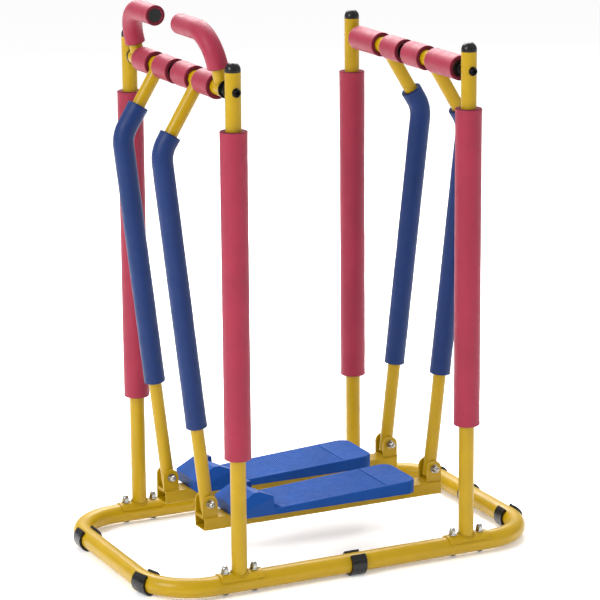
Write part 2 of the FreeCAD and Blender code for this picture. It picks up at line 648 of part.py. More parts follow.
def tread_outline():
    """Plan of a tread: narrow rounded toe, wider heel with large corners."""
    points = [V(TREAD_TOE_X, -TREAD_TOE_HALF_WIDTH, 0), V(TREAD_HEEL_X, -TREAD_HEEL_HALF_WIDTH, 0),
              V(TREAD_HEEL_X, TREAD_HEEL_HALF_WIDTH, 0), V(TREAD_TOE_X, TREAD_TOE_HALF_WIDTH, 0)]
    radii = [TREAD_TOE_CORNER, TREAD_HEEL_CORNER, TREAD_HEEL_CORNER, TREAD_TOE_CORNER]
    rounds = [bend(points[i - 1], points[i], points[(i + 1) % 4], radii[i]) for i in range(4)]
    edges = []
    for i in range(4):
        edges.append(rounds[i][1])
        edges.append(Part.makeLine(rounds[i][2], rounds[(i + 1) % 4][0]))
    return Part.Face(Part.Wire(edges))


def tread_top(x):
    """Height of the sloping tread surface above the beam."""
    share = (x - TOE_FOOT_X) / (TREAD_HEEL_X - TOE_FOOT_X)
    return TREAD_TOE_THICKNESS + share * (TREAD_HEEL_THICKNESS - TREAD_TOE_THICKNESS)


def tread(side):
    """Moulded footboard with its raised toe block."""
    y = SIDES[side] * ARM_Y
    wide = TREAD_HEEL_HALF_WIDTH * 2
    blank = tread_outline().extrude(V(0, 0, TOE_CREST_HEIGHT))
    board_side = [V(TREAD_TOE_X, -wide, 0), V(TREAD_HEEL_X, -wide, 0),
                  V(TREAD_HEEL_X, -wide, tread_top(TREAD_HEEL_X)),
                  V(TREAD_TOE_X, -wide, tread_top(TREAD_TOE_X))]
    board = blank.common(prism(board_side, V(0, 2 * wide, 0)))
    rim = [e for e in board.Edges if e.BoundBox.ZMin > tread_top(TREAD_TOE_X) - 0.01]
    board = board.makeFillet(TREAD_EDGE, rim)
    block_side = [V(TREAD_TOE_X, -wide, 0), V(TREAD_TOE_X, -wide, TOE_NOSE_HEIGHT),
                  V(TREAD_TOE_X + TOE_CREST_FRONT, -wide, TOE_CREST_HEIGHT - TOE_CREST_SLOPE),
                  V(TREAD_TOE_X + TOE_CREST_REAR, -wide, TOE_CREST_HEIGHT),
                  V(TREAD_TOE_X + TOE_CHEEK, -wide, TOE_CHEEK_HEIGHT),
                  V(TOE_FOOT_X, -wide, tread_top(TOE_FOOT_X)), V(TOE_FOOT_X, -wide, 0)]
    block = blank.common(prism(block_side, V(0, 2 * wide, 0)))
    pocket = Part.makeCylinder(POCKET_RADIUS, TOE_CREST_HEIGHT, V(TREAD_TOE_X + POCKET_CENTRE, 0, 0))
    above = [V(TREAD_TOE_X, -wide, tread_top(TREAD_TOE_X)), V(TREAD_HEEL_X, -wide, tread_top(TREAD_HEEL_X)),
             V(TREAD_HEEL_X, -wide, TOE_CREST_HEIGHT * 2), V(TREAD_TOE_X, -wide, TOE_CREST_HEIGHT * 2)]
    block = block.cut(pocket.common(prism(above, V(0, 2 * wide, 0))))
    for t in SIDES.values():
        block = block.cut(shoulder(t))
    body = board.fuse(block)
    for t in SIDES.values():
        body = body.fuse(gusset(t))
    body.translate(V(0, y, BEAM_TOP))
    for x in TREAD_SCREW_XS:
        hole = Part.makeCylinder(TREAD_SCREW_DIA / 2 + SNUG, TREAD_SCREW_BITE, V(x, y, BEAM_TOP))
        body = body.cut(hole)
    return body.removeSplitter()


def shoulder(t):
    """What is bevelled off the block between its side and the end of its crest."""
    side_y = t * TREAD_TOE_HALF_WIDTH
    low = V(TREAD_TOE_X + TOE_SHOULDER, side_y, TOE_NOSE_HEIGHT)
    cheek = V(TREAD_TOE_X + TOE_CHEEK, side_y, TOE_CHEEK_HEIGHT)
    crest = V(TREAD_TOE_X + TOE_CREST_REAR, side_y - t * TOE_SHOULDER_INSET, TOE_CREST_HEIGHT)
    along = (cheek - low) * 2
    rise = (crest - low) * 2
    outwards = rise.cross(along) if rise.cross(along).y * t > 0 else along.cross(rise)
    corners = [low - along - rise, low + along - rise, low + along + rise, low - along + rise]
    return prism(corners, outwards.normalize() * TREAD_TOE_HALF_WIDTH)


def gusset(t):
    """Small sloping web between the rear edge of a cheek and the footboard."""
    front, rear = TOE_FOOT_X - GUSSET_OVERLAP, TOE_FOOT_X + GUSSET_LENGTH
    side_y = t * (TREAD_TOE_HALF_WIDTH + GUSSET_STANDOUT)
    inner_y = side_y - t * GUSSET_WIDTH
    low = tread_top(TOE_FOOT_X) - GUSSET_ROOT
    base = [V(front, side_y, low), V(rear, side_y, low), V(front, inner_y, low)]
    apex = V(front, inner_y + t * GUSSET_OVERLAP, low + GUSSET_ROOT + GUSSET_HEIGHT)
    faces = [Part.Face(Part.makePolygon(base + [base[0]]))]
    for i in range(3):
        faces.append(Part.Face(Part.makePolygon([base[i], base[(i + 1) % 3], apex, base[i]])))
    solid = Part.makeSolid(Part.makeShell(faces))
    if solid.Volume < 0:
        solid.reverse()
    return solid


def tread_screws(side):
    """Screws that come up through the beam into the tread."""
    y = SIDES[side] * ARM_Y
    screws = []
    for x in TREAD_SCREW_XS:
        reach = BEAM_HEIGHT + TREAD_SCREW_BITE - TREAD_SCREW_SPARE
        shank = Part.makeCylinder(TREAD_SCREW_DIA / 2, reach, V(x, y, BEAM_BOTTOM))
        head = Part.makeCone(TREAD_SCREW_HEAD_TOP_DIA / 2, TREAD_SCREW_HEAD_DIA / 2,
                             TREAD_SCREW_HEAD_HEIGHT, V(x, y, BEAM_BOTTOM - TREAD_SCREW_HEAD_HEIGHT))
        screws.append(shank.fuse(head).removeSplitter())
    return screws


def pivot_bolts(side):
    """Bolt, washer and cap nut through each clevis of a pedal, nut on the user's left."""
    y = SIDES[side] * ARM_Y
    pieces = []
    for s in ENDS.values():
        x = s * POST_X
        nut_seat = y - EAR_OUTER
        head_seat = y + EAR_OUTER
        shank = across(x, nut_seat - stud_reach(), head_seat, PEDAL_PIVOT_Z, PIVOT_BOLT_DIA / 2)
        head = Part.makeSphere(PIVOT_HEAD_DIA / 2, V(x, head_seat, PEDAL_PIVOT_Z))
        head = head.common(across(x, head_seat, head_seat + PIVOT_HEAD_HEIGHT, PEDAL_PIVOT_Z,
                                  PIVOT_HEAD_DIA / 2))
        pieces.append(shank.fuse(head).removeSplitter())
        pieces += cap_nut(x, nut_seat, PEDAL_PIVOT_Z, V(0, -1, 0))
    return pieces


def build():
    os.makedirs("parts", exist_ok=True)
    save("base_joint_sleeves", *joint_sleeves())
    save("base_clip_feet", *clip_feet())
    save("saddle_bolts", *saddle_bolts())
    save("saddle_cap_nuts", *saddle_nuts())
    save("axle_screws", *axle_screws())
    for end in ENDS:
        save("base_" + end + "_half", base_half(end))
        save(end + "_axle", axle(end))
        save(end + "_axle_spacers", *axle_spacers(end))
        for side in SIDES:
            place = end + "_" + side
            save(place + "_post", post(end, side))
            save(place + "_post_cap", post_cap(end, side))
            save(place + "_post_foam", post_foam(end, side))
            save(place + "_arm", arm(end, side))
            save(place + "_hub_bushes", *hub_bushes(end, side))
            save(place + "_inner_roll", inner_roll(end, side))
            save(place + "_outer_roll", outer_roll(end, side))
            save(place + "_arm_foam", arm_foam(end, side))
            save(place + "_pivot_bush", pivot_bush(end, side))
    for side in SIDES:
        save(side + "_handle_foam", handle_foam(side))
        save(side + "_handle_plug", handle_plug(side))
        save(side + "_pedal_beam", pedal_beam(side))
        save(side + "_tread", tread(side))
        save(side + "_tread_screws", *tread_screws(side))
        save(side + "_pivot_bolts", *pivot_bolts(side))


build()
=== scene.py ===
import math
from functools import partial

import bpy
from mathutils import Matrix, Vector


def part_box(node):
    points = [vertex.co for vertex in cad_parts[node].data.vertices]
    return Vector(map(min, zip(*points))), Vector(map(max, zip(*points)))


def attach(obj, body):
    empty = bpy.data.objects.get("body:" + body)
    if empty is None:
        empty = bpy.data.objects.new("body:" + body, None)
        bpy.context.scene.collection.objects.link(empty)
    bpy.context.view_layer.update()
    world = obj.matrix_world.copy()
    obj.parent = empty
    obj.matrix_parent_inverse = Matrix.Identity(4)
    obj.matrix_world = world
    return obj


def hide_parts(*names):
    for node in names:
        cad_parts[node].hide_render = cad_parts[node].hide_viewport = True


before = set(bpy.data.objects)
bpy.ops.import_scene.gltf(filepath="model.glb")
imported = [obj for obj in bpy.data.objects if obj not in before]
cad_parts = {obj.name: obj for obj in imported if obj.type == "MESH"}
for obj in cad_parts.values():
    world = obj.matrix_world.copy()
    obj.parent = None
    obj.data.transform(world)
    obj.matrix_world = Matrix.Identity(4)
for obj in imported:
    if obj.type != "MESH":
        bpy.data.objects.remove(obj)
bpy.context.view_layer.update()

bl_info = {
    "name": "Children's Air Walker",
    "version": (1, 0, 0),
    "blender": (4, 5, 0),
    "location": "View3D > Sidebar > Air Walker",
    "description": "Foam sleeves, tread grain, weld beads, finishes and studio for a children's air walker",
    "category": "Object",
}

# Everything is in metres. Front (-X) is the handle end, left (-Y) is the user's left.

ENDS = {"front": -1, "rear": 1}
SIDES = {"left": -1, "right": 1}
PLACES = [(end, side) for end in ENDS for side in SIDES]


def lowest(node):
    return Vector(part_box(node)[0])


def highest(node):
    return Vector(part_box(node)[1])


def middle(node):
    return (lowest(node) + highest(node)) / 2


# Places and sizes of the CAD parts that the foam, the weld beads and the grain follow

AXLE_Z = middle("front_axle").z
POST_X = middle("rear_axle").x
POST_Y = middle("front_right_post").y
RAIL_Z = middle("base_front_half").z
ARM_Y = middle("right_tread").y
PIVOT_Z = middle("front_left_pivot_bush").z
BEAM_TOP = lowest("left_tread").z

ARM_RADIUS = 0.013
ARM_BEND_OUT = 0.080
ARM_BEND_DROP = 0.131
ARM_BEND_RADIUS = 0.060
HUB_RADIUS = 0.016
HANDLE_Y = 0.196
HANDLE_LEAN = math.radians(12)
HANDLE_RISE = 0.104
HANDLE_BEND_RADIUS = 0.062
POST_RADIUS = 0.015
SADDLE_RADIUS = 0.022
EAR_OUTER = 0.018
EAR_RADIUS = 0.016

TREAD_TOE_X = lowest("left_tread").x
TREAD_HEEL_X = highest("left_tread").x
TREAD_FOOT_X = -0.127       # where the toe block ends and the sloping board starts
TREAD_FOOT_HEIGHT = 0.012
TREAD_HEEL_HEIGHT = 0.0265
TREAD_SLOPE = (TREAD_HEEL_HEIGHT - TREAD_FOOT_HEIGHT) / (TREAD_HEEL_X - TREAD_FOOT_X)
TREAD_TOE_HALF_WIDTH = 0.058
TREAD_HEEL_HALF_WIDTH = 0.065
POCKET_X = -0.112
POCKET_RADIUS = 0.046
GUSSET_REACH = 0.026
GUSSET_INSIDE = 0.043

# Foam: how far the sleeves reach from the bends, and how they end
ARM_SLEEVE_REACH = {("front", "left"): (0.038, 0.544), ("front", "right"): (0.067, 0.499),
                    ("rear", "left"): (0.039, 0.505), ("rear", "right"): (0.046, 0.529)}
GRIP_START = {"left": 0.038, "right": 0.030}
GRIP_TIP_Y = 0.0575
ARM_BEND_STEPS, HANDLE_BEND_STEPS = 16, 24
FOAM_GAP = 0.0003           # air between a sleeve and its tube, as in the CAD
FLARE_FADE = 0.004          # the flare of a cut end halves over this length
CUT_SHARE = 0.35            # share of the end's rounding that shows open cells

# Grain
GRAIN_KEEP_OFF = 0.002      # bare strip between the grain and the toe block
LATTICE_SPARE = 1.42        # a square lattice turned by 45 degrees has to be this much longer
DIAMOND_TOP = 0.2           # radius of a diamond's blunt top, as a share of its width
RIDGE_DEPTH = 3.0           # depth of the ridge, half of it sunk, over the height of a diamond

# Weld beads
SEAM_STEPS = 48
DROP_LENGTH = 0.75          # length of a drop along its seam, over its height
SADDLE_BEAD_RISE = 0.5      # how far a bead's line stands off the steel, as a share of its radius
HUB_BEAD_RISE = 0.3
CLEVIS_BEAD_SHARE = 0.8     # the beads under the ears are thinner

# First seed of each group of like pieces; the post sleeves start at 0
ROLL_SEED, ARM_SEED, GRIP_SEED = 10, 30, 40
SADDLE_SEED, HUB_SEED, CLEVIS_SEED = 1, 2, 8

# Patches and polish
NOISE_LOW, NOISE_HIGH = 0.3, 0.7       # most of a noise node's values lie between these
POLISH_ROUGHNESS = 0.36                # toe block, where shoes rub
POLISH_BLEND = 0.001                   # half the length over which the polish fades

# Where the photograph was taken from, solved from the base, posts and axles
CAMERA_PLACE = Vector((-2.3735, -4.8947, 1.8564))
CAMERA_YAW = math.radians(25.917)
CAMERA_PITCH = math.radians(14.09)
CAMERA_ROLL = math.radians(-0.454)
CAMERA_FOCUS_SHARE = 2855.4 / 600      # focal length over the width of the picture
CAMERA_REACH = 200
SENSOR_MM = 36.0

# Width and place of each light, and the point that they all face
LIGHTS = {"key": (2.0, (-4.3, -1.2, 3.0)), "fill": (3.0, (3.4, -3.8, 1.8)),
          "top": (40.0, (0.0, 0.0, 9.0)), "back": (3.0, (0.9, 2.3, 3.3))}
LIGHT_AIM = Vector((0, 0, 0.5))

# Kinds of node that come up again and again
MATH = "ShaderNodeMath"
VECTOR = "ShaderNodeVectorMath"
XYZ = "ShaderNodeCombineXYZ"
NOISE = "ShaderNodeTexNoise"
BUMP = "ShaderNodeBump"
RANGE = "ShaderNodeMapRange"


# Colours and materials

def linear(code):
    """Linear colour from an sRGB hex value."""
    parts = [int(code[i:i + 2], 16) / 255 for i in (1, 3, 5)]
    return tuple(c / 12.92 if c <= 0.04045 else ((c + 0.055) / 1.055) ** 2.4 for c in parts)


def rgba(colour):
    return (*colour, 1.0)


def connect(tree, node, inputs):
    """Gives a node its inputs, by name or in order: values, or links from a socket or from the
    first output of a node."""
    for key, value in inputs.items() if isinstance(inputs, dict) else enumerate(inputs):
        if isinstance(value, bpy.types.Node):
            value = value.outputs[0]
        if isinstance(value, bpy.types.NodeSocket):
            tree.links.new(value, node.inputs[key])
        else:
            node.inputs[key].default_value = value


def add(tree, kind, inputs=(), **settings):
    """Adds a node with its settings and inputs."""
    made = tree.nodes.new(kind)
    for key, value in settings.items():
        setattr(made, key, value)
    connect(tree, made, inputs)
    return made


def start_material(name):
    """New node material; returns it with its tree, shader and Object coordinates."""
    material = bpy.data.materials.new(name)
    material.use_nodes = True
    tree = material.node_tree
    return material, tree, tree.nodes["Principled BSDF"], add(tree, "ShaderNodeTexCoord").outputs["Object"]


def blotch(tree, place, size, low=0.0, high=1.0, detail=3.0):
    """Soft noise of the given size in metres, between two values."""
    noise = add(tree, NOISE, {"Vector": place, "Scale": 1 / size, "Detail": detail})
    return add(tree, RANGE, {"Value": noise, "From Min": NOISE_LOW, "From Max": NOISE_HIGH, "To Min": low,
                             "To Max": high})


def shade(tree, colour, factor, dark, light):
    """The colour, made darker or lighter by a noise value."""
    brightness = add(tree, RANGE, {"Value": factor, "To Min": dark, "To Max": light})
    return add(tree, "ShaderNodeHueSaturation", {"Color": rgba(colour), "Value": brightness})


def stoved_enamel(name, colour):
    """Stoved enamel on steel tube: a thick glossy skin, so it shows clear highlights, and a
    faint orange peel with dimples about 2 mm apart."""
    material, tree, shader, place = start_material(name)
    peel = add(tree, NOISE, {"Vector": place, "Scale": 1 / 0.0022, "Detail": 1.0})
    runs = add(tree, NOISE, {"Vector": place, "Scale": 1 / 0.018, "Detail": 2.0})
    waves = add(tree, BUMP, {"Height": runs, "Distance": 0.0003, "Strength": 0.5})
    connect(tree, shader, {
        "Base Color": shade(tree, colour, blotch(tree, place, 0.045), 0.95, 1.04),
        "Roughness": blotch(tree, place, 0.03, 0.30, 0.40), "IOR": 1.5, "Specular IOR Level": 0.26,
        "Coat Weight": 0.08, "Coat Roughness": 0.2,
        "Normal": add(tree, BUMP, {"Height": peel, "Distance": 0.00006, "Strength": 0.5, "Normal": waves})})
    return material


def nitrile_foam(name, colour):
    """Closed-cell nitrile foam sleeve: a matte, faintly velvety skin with fine pores, drawn at
    1.2 mm so that they show, and dull open cells on the cut end faces, darkened with painted
    shade that is deepest in the hollow middle of each cell."""
    material, tree, shader, place = start_material(name)
    skin = shade(tree, colour, blotch(tree, place, 0.06, detail=4.0), 0.93, 1.06)
    cut = add(tree, "ShaderNodeAttribute", attribute_name="cut").outputs["Fac"]
    # Painted shade: the cut ends are darkened, most in the hollow middle of each open cell
    cells = add(tree, "ShaderNodeTexVoronoi", {"Vector": place, "Scale": 1 / 0.0013})
    depth = add(tree, RANGE, {"Value": cells, "From Max": 0.8, "To Min": 0.28, "To Max": 0.52})
    shaded_open_cells = add(tree, "ShaderNodeHueSaturation", {"Color": skin, "Value": depth})
    pores = add(tree, NOISE, {"Vector": place, "Scale": 1 / 0.0012, "Detail": 3.0})
    dents = add(tree, NOISE, {"Vector": place, "Scale": 1 / 0.014, "Detail": 2.0})
    hollows = add(tree, BUMP, {"Height": dents, "Distance": 0.0005, "Strength": 0.5})
    mixed = add(tree, "ShaderNodeMix", {"Factor": cut, "A": skin, "B": shaded_open_cells}, data_type="RGBA")
    connect(tree, shader, {
        "Base Color": mixed.outputs["Result"],
        "Roughness": add(tree, MATH, (cut, blotch(tree, place, 0.02, 0.44, 0.58)), operation="MAXIMUM"),
        "Sheen Weight": 0.05, "Sheen Roughness": 0.45, "Specular IOR Level": 0.28,
        "Normal": add(tree, BUMP, {"Height": pores, "Distance": 0.00022, "Strength": 0.6,
                                   "Normal": hollows})})
    return material


def moulded_polypropylene(name, colour, roughness, gloss, groove_shade_and_dirt):
    """Moulded polypropylene: a dull satin with a fine spark-eroded texture of about 0.8 mm;
    shoes have polished the toe block; the grain is darkened in uneven patches by painted shade
    of its grooves and by dirt."""
    material, tree, shader, place = start_material(name)
    along = add(tree, "ShaderNodeSeparateXYZ", (place,)).outputs["X"]
    polish = add(tree, RANGE, {
        "Value": along, "From Min": TREAD_FOOT_X - POLISH_BLEND, "From Max": TREAD_FOOT_X + POLISH_BLEND,
        "To Min": POLISH_ROUGHNESS, "To Max": roughness})
    grain = add(tree, NOISE, {"Vector": place, "Scale": 1 / 0.0008, "Detail": 2.0})
    sinks = add(tree, NOISE, {"Vector": place, "Scale": 1 / 0.035, "Detail": 1.0})
    hollows = add(tree, BUMP, {"Height": sinks, "Distance": 0.0008, "Strength": 0.4})
    connect(tree, shader, {
        # The colour darkens in uneven patches by painted shade of the grain's grooves and by dirt
        "Base Color": shade(tree, colour, blotch(tree, place, 0.06), 0.96 - 1.5 * groove_shade_and_dirt, 1.04 - 0.5 * groove_shade_and_dirt),
        "Roughness": add(tree, MATH, (polish, blotch(tree, place, 0.012, -0.06, 0.06)), operation="ADD"),
        "IOR": 1.49, "Specular IOR Level": gloss,
        "Subsurface Weight": 0.04, "Subsurface Radius": (0.002, 0.003, 0.006),
        "Normal": add(tree, BUMP, {"Height": grain, "Distance": 0.00008, "Strength": 0.6,
                                   "Normal": hollows})})
    return material


def moulded_polyethylene(name, colour):
    """Moulded black polyethylene: low sheen with a leathery grain of about 1 mm."""
    material, tree, shader, place = start_material(name)
    grain = add(tree, "ShaderNodeTexVoronoi", {"Vector": place, "Scale": 1 / 0.001})
    connect(tree, shader, {
        "Base Color": shade(tree, colour, blotch(tree, place, 0.012), 0.85, 1.15),
        "Roughness": blotch(tree, place, 0.008, 0.22, 0.34), "Specular IOR Level": 0.36,
        "Normal": add(tree, BUMP, {"Height": grain, "Distance": 0.00008, "Strength": 0.5})})
    return material


def black_oxide_steel(name, colour):
    """Oil-blackened steel screws: dark metal with soft broad highlights."""
    material, tree, shader, place = start_material(name)
    marks = add(tree, NOISE, {"Vector": place, "Scale": 1 / 0.0009, "Detail": 2.0})
    connect(tree, shader, {
        "Base Color": shade(tree, colour, blotch(tree, place, 0.004), 0.8, 1.2), "Metallic": 0.85,
        "Roughness": blotch(tree, place, 0.003, 0.30, 0.46),
        "Normal": add(tree, BUMP, {"Height": marks, "Distance": 0.00004, "Strength": 0.5})})
    return material


def bright_nickel(name, colour):
    """Barrel-polished nickel plate on the cap nuts: near-mirror with fine rubbed scratches."""
    material, tree, shader, place = start_material(name)
    marks = add(tree, NOISE, {"Vector": place, "Scale": 1 / 0.0014, "Detail": 3.0})
    connect(tree, shader, {
        "Base Color": shade(tree, colour, blotch(tree, place, 0.006), 0.92, 1.03), "Metallic": 1.0,
        "Roughness": blotch(tree, place, 0.002, 0.20, 0.32),
        "Normal": add(tree, BUMP, {"Height": marks, "Distance": 0.00003, "Strength": 0.6})})
    return material


def drawn_steel(name, colour):
    """Bare drawn steel of the axles: satin metal with fine rings round the bar."""
    material, tree, shader, place = start_material(name)
    stretch = add(tree, "ShaderNodeMapping", {"Vector": place, "Scale": (150.0, 2500.0, 150.0)})
    rings = add(tree, NOISE, {"Vector": stretch, "Scale": 1.0, "Detail": 2.0})
    connect(tree, shader, {
        "Base Color": shade(tree, colour, rings, 0.85, 1.1), "Metallic": 1.0,
        "Roughness": blotch(tree, place, 0.005, 0.28, 0.40),
        "Normal": add(tree, BUMP, {"Height": rings, "Distance": 0.00003, "Strength": 0.5})})
    return material


def studio_paper(name, colour):
    """Matte white backdrop of a light table: it glows faintly, which thins the shadows."""
    material, tree, shader, place = start_material(name)
    connect(tree, shader, {
        "Base Color": shade(tree, colour, blotch(tree, place, 0.9), 0.995, 1.0), "Roughness": 0.9,
        "Specular IOR Level": 0.1, "Emission Color": rgba(colour), "Emission Strength": 0.25})
    return material


FINISHES = {}


def finish(name):
    """The material of that name, made once from the current settings."""
    if name not in FINISHES:
        paint = bpy.context.scene.air_walker_finish
        # Behind the tread's colour stand its roughness, its specular level and its painted groove shade with
        # dirt
        makers = {"yellow_enamel": (stoved_enamel, paint.enamel), "red_foam": (nitrile_foam, paint.red_foam),
                  "blue_foam": (nitrile_foam, paint.blue_foam),
                  "blue_tread": (moulded_polypropylene, paint.tread, 0.62, 0.14, 0.0),
                  "blue_grain": (moulded_polypropylene, paint.tread, 0.72, 0.0, 0.3),
                  "black_plastic": (moulded_polyethylene, paint.black),
                  "black_screw": (black_oxide_steel, paint.black),
                  "nickel_nut": (bright_nickel, paint.nickel), "axle_steel": (drawn_steel, paint.axle),
                  "backdrop": (studio_paper, paint.backdrop)}
        maker, *values = makers[name]
        FINISHES[name] = maker(name, *values)
    return FINISHES[name]


def coat(names, finish_name):
    """Gives CAD nodes their finish."""
    for name in names:
        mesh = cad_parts[name].data
        mesh.materials.clear()
        mesh.materials.append(finish(finish_name))


# Geometry node trees

def new_tree(name, output, **inputs):
    """Empty geometry node tree with its named inputs, sorted by kind of socket; returns it, its
    input sockets and the function add with the tree filled in."""
    tree = bpy.data.node_groups.new(name, "GeometryNodeTree")
    for kind, labels in inputs.items():
        for label in labels:
            tree.interface.new_socket(label, in_out="INPUT", socket_type="NodeSocket" + kind)
    tree.interface.new_socket(output, in_out="OUTPUT", socket_type="NodeSocketGeometry")
    return tree, add(tree, "NodeGroupInput").outputs, partial(add, tree)


def end_tree(tree, geometry, material):
    """Ends a tree with real geometry that carries its material."""
    real = add(tree, "GeometryNodeRealizeInstances", {"Geometry": geometry})
    painted = add(tree, "GeometryNodeSetMaterial", {"Geometry": real, "Material": material})
    add(tree, "NodeGroupOutput", (painted,))


def sleeve_tree():
    """Foam tube round a centre line: a rounded wall section is turned once round and laid
    along the line, a little swollen here and there and flared at its cut ends."""
    tree, given, put = new_tree(
        "Foam sleeve", "Sleeve", Geometry=["Centre line"], Int=["Segments"], Material=["Material"],
        Float=["Outer radius", "Bore radius", "Edge radius", "Flare", "Swell", "Swell size", "Ring spacing",
               "Seed"])
    outer, bore = given["Outer radius"], given["Bore radius"]
    line = put("GeometryNodeMeshToCurve", {"Mesh": given["Centre line"]})
    length = put("GeometryNodeCurveLength", {"Curve": line})
    wall = put(MATH, (outer, bore), operation="SUBTRACT")
    centre_radius = put(MATH, (put(MATH, (outer, bore), operation="ADD"), 0.5), operation="MULTIPLY")

    # The section of the wall, with points close enough to follow the line's bend
    section = put("GeometryNodeCurvePrimitiveQuadrilateral", {"Width": length, "Height": wall})
    rounded = put("GeometryNodeFilletCurve", {"Curve": section, "Count": 4, "Radius": given["Edge radius"],
                                              "Limit Radius": True}, mode="POLY")
    here = put("GeometryNodeInputPosition")
    following = put("GeometryNodeOffsetPointInCurve", {"Offset": 1}).outputs["Point Index"]
    there = put("GeometryNodeFieldAtIndex", {"Index": following, "Value": here}, data_type="FLOAT_VECTOR")
    gap = put(VECTOR, (here, there), operation="DISTANCE").outputs["Value"]
    cuts = put(MATH, (put(MATH, (gap, given["Ring spacing"]), operation="DIVIDE"),), operation="FLOOR")
    fine = put("GeometryNodeSubdivideCurve", {"Curve": rounded, "Cuts": cuts})
    marked = put("GeometryNodeStoreNamedAttribute", {"Geometry": fine, "Name": "section", "Value": here},
                 data_type="FLOAT_VECTOR")
    loop = put("GeometryNodeCurvePrimitiveCircle", {"Resolution": given["Segments"]})
    share = put("GeometryNodeSplineParameter")
    turned = put("GeometryNodeStoreNamedAttribute", {"Geometry": loop, "Name": "turn", "Value": share},
                 data_type="FLOAT")
    shell = put("GeometryNodeCurveToMesh", {"Curve": turned, "Profile Curve": marked})

    # Each point of it goes to its own place along and round the line
    place = put("GeometryNodeInputNamedAttribute", {"Name": "section"}, data_type="FLOAT_VECTOR")
    turn = put("GeometryNodeInputNamedAttribute", {"Name": "turn"}, data_type="FLOAT")
    parts = add(tree, "ShaderNodeSeparateXYZ", (place,)).outputs
    along = put(MATH, (parts["X"], put(MATH, (length, 0.5), operation="MULTIPLY")), operation="ADD")
    on_line = add(tree, "GeometryNodeSampleCurve", {"Curves": line, "Length": along}, mode="LENGTH",
                  use_all_curves=True).outputs
    spot, normal = on_line["Position"], on_line["Normal"]
    across = put(VECTOR, (on_line["Tangent"], normal), operation="CROSS_PRODUCT")
    angle = put(MATH, (turn, 2 * math.pi), operation="MULTIPLY")
    outward = put(VECTOR, (
        put(VECTOR, {0: normal, "Scale": put(MATH, (angle,), operation="COSINE")}, operation="SCALE"),
        put(VECTOR, {0: across, "Scale": put(MATH, (angle,), operation="SINE")}, operation="SCALE")),
        operation="ADD")

    # Lumps, flare and the cut ends
    rim = put(VECTOR, (spot, put(VECTOR, {0: outward, "Scale": outer}, operation="SCALE")), operation="ADD")
    noise = put(NOISE, {"Vector": rim, "W": given["Seed"], "Detail": 1.0,
                        "Scale": put(MATH, (1.0, given["Swell size"]), operation="DIVIDE")},
                noise_dimensions="4D")
    lump = put(MATH, (put(MATH, (noise, 0.5), operation="SUBTRACT"), given["Swell"]), operation="MULTIPLY")
    to_end = put(MATH, (along, put(MATH, (length, along), operation="SUBTRACT")), operation="MINIMUM")
    fade = put(MATH, (0.5, put(MATH, (to_end, FLARE_FADE), operation="DIVIDE")), operation="POWER")
    grown = put(MATH, (lump, put(MATH, (fade, given["Flare"]), operation="MULTIPLY")), operation="ADD")
    outside = put(RANGE, {"Value": parts["Y"], "From Min": put(MATH, (wall, -0.5), operation="MULTIPLY"),
                          "From Max": put(MATH, (wall, 0.5), operation="MULTIPLY")})
    radius = put(MATH, (put(MATH, (parts["Y"], centre_radius), operation="ADD"),
                        put(MATH, (grown, outside), operation="MULTIPLY")), operation="ADD")
    laid = put("GeometryNodeSetPosition", {"Geometry": shell, "Position": put(VECTOR, (
        spot, put(VECTOR, {0: outward, "Scale": radius}, operation="SCALE")), operation="ADD")})
    near = put(MATH, (given["Edge radius"], CUT_SHARE), operation="MULTIPLY")
    at_end = put(MATH, (to_end, near), operation="LESS_THAN")
    cut = put("GeometryNodeStoreNamedAttribute", {"Geometry": laid, "Name": "cut", "Value": at_end},
              data_type="FLOAT")
    end_tree(tree, put("GeometryNodeSetShadeSmooth", {"Geometry": cut}), given["Material"])
    return tree


def bead_tree():
    """Weld bead along a seam: overlapping flattened drops at a steady step, like the
    scales that a welder's torch leaves."""
    tree, given, put = new_tree("Weld bead", "Bead", Geometry=["Seam"], Int=["Seed"], Material=["Material"],
                                Float=["Drop radius", "Drop step", "Unevenness"])
    line = put("GeometryNodeMeshToCurve", {"Mesh": given["Seam"]})
    steps = put("GeometryNodeResampleCurve", {"Curve": line, "Length": given["Drop step"]}, mode="LENGTH")
    drop = put("GeometryNodeMeshIcoSphere", {"Radius": 1.0, "Subdivisions": 2})
    soft = put("GeometryNodeSetShadeSmooth", {"Geometry": drop})
    facing = put("FunctionNodeAlignEulerToVector", {"Vector": put("GeometryNodeInputTangent")}, axis="X")
    least = put(MATH, (1.0, given["Unevenness"]), operation="SUBTRACT")
    uneven = put("FunctionNodeRandomValue", {"Min": least, "Max": 1.0, "Seed": given["Seed"]},
                 data_type="FLOAT")
    size = put(MATH, (given["Drop radius"], uneven.outputs[1]), operation="MULTIPLY")
    shape = put(XYZ, {"X": put(MATH, (size, DROP_LENGTH), operation="MULTIPLY"), "Y": size, "Z": size})
    drops = put("GeometryNodeInstanceOnPoints", {"Points": steps, "Instance": soft, "Rotation": facing,
                                                 "Scale": shape})
    end_tree(tree, drops, given["Material"])
    return tree


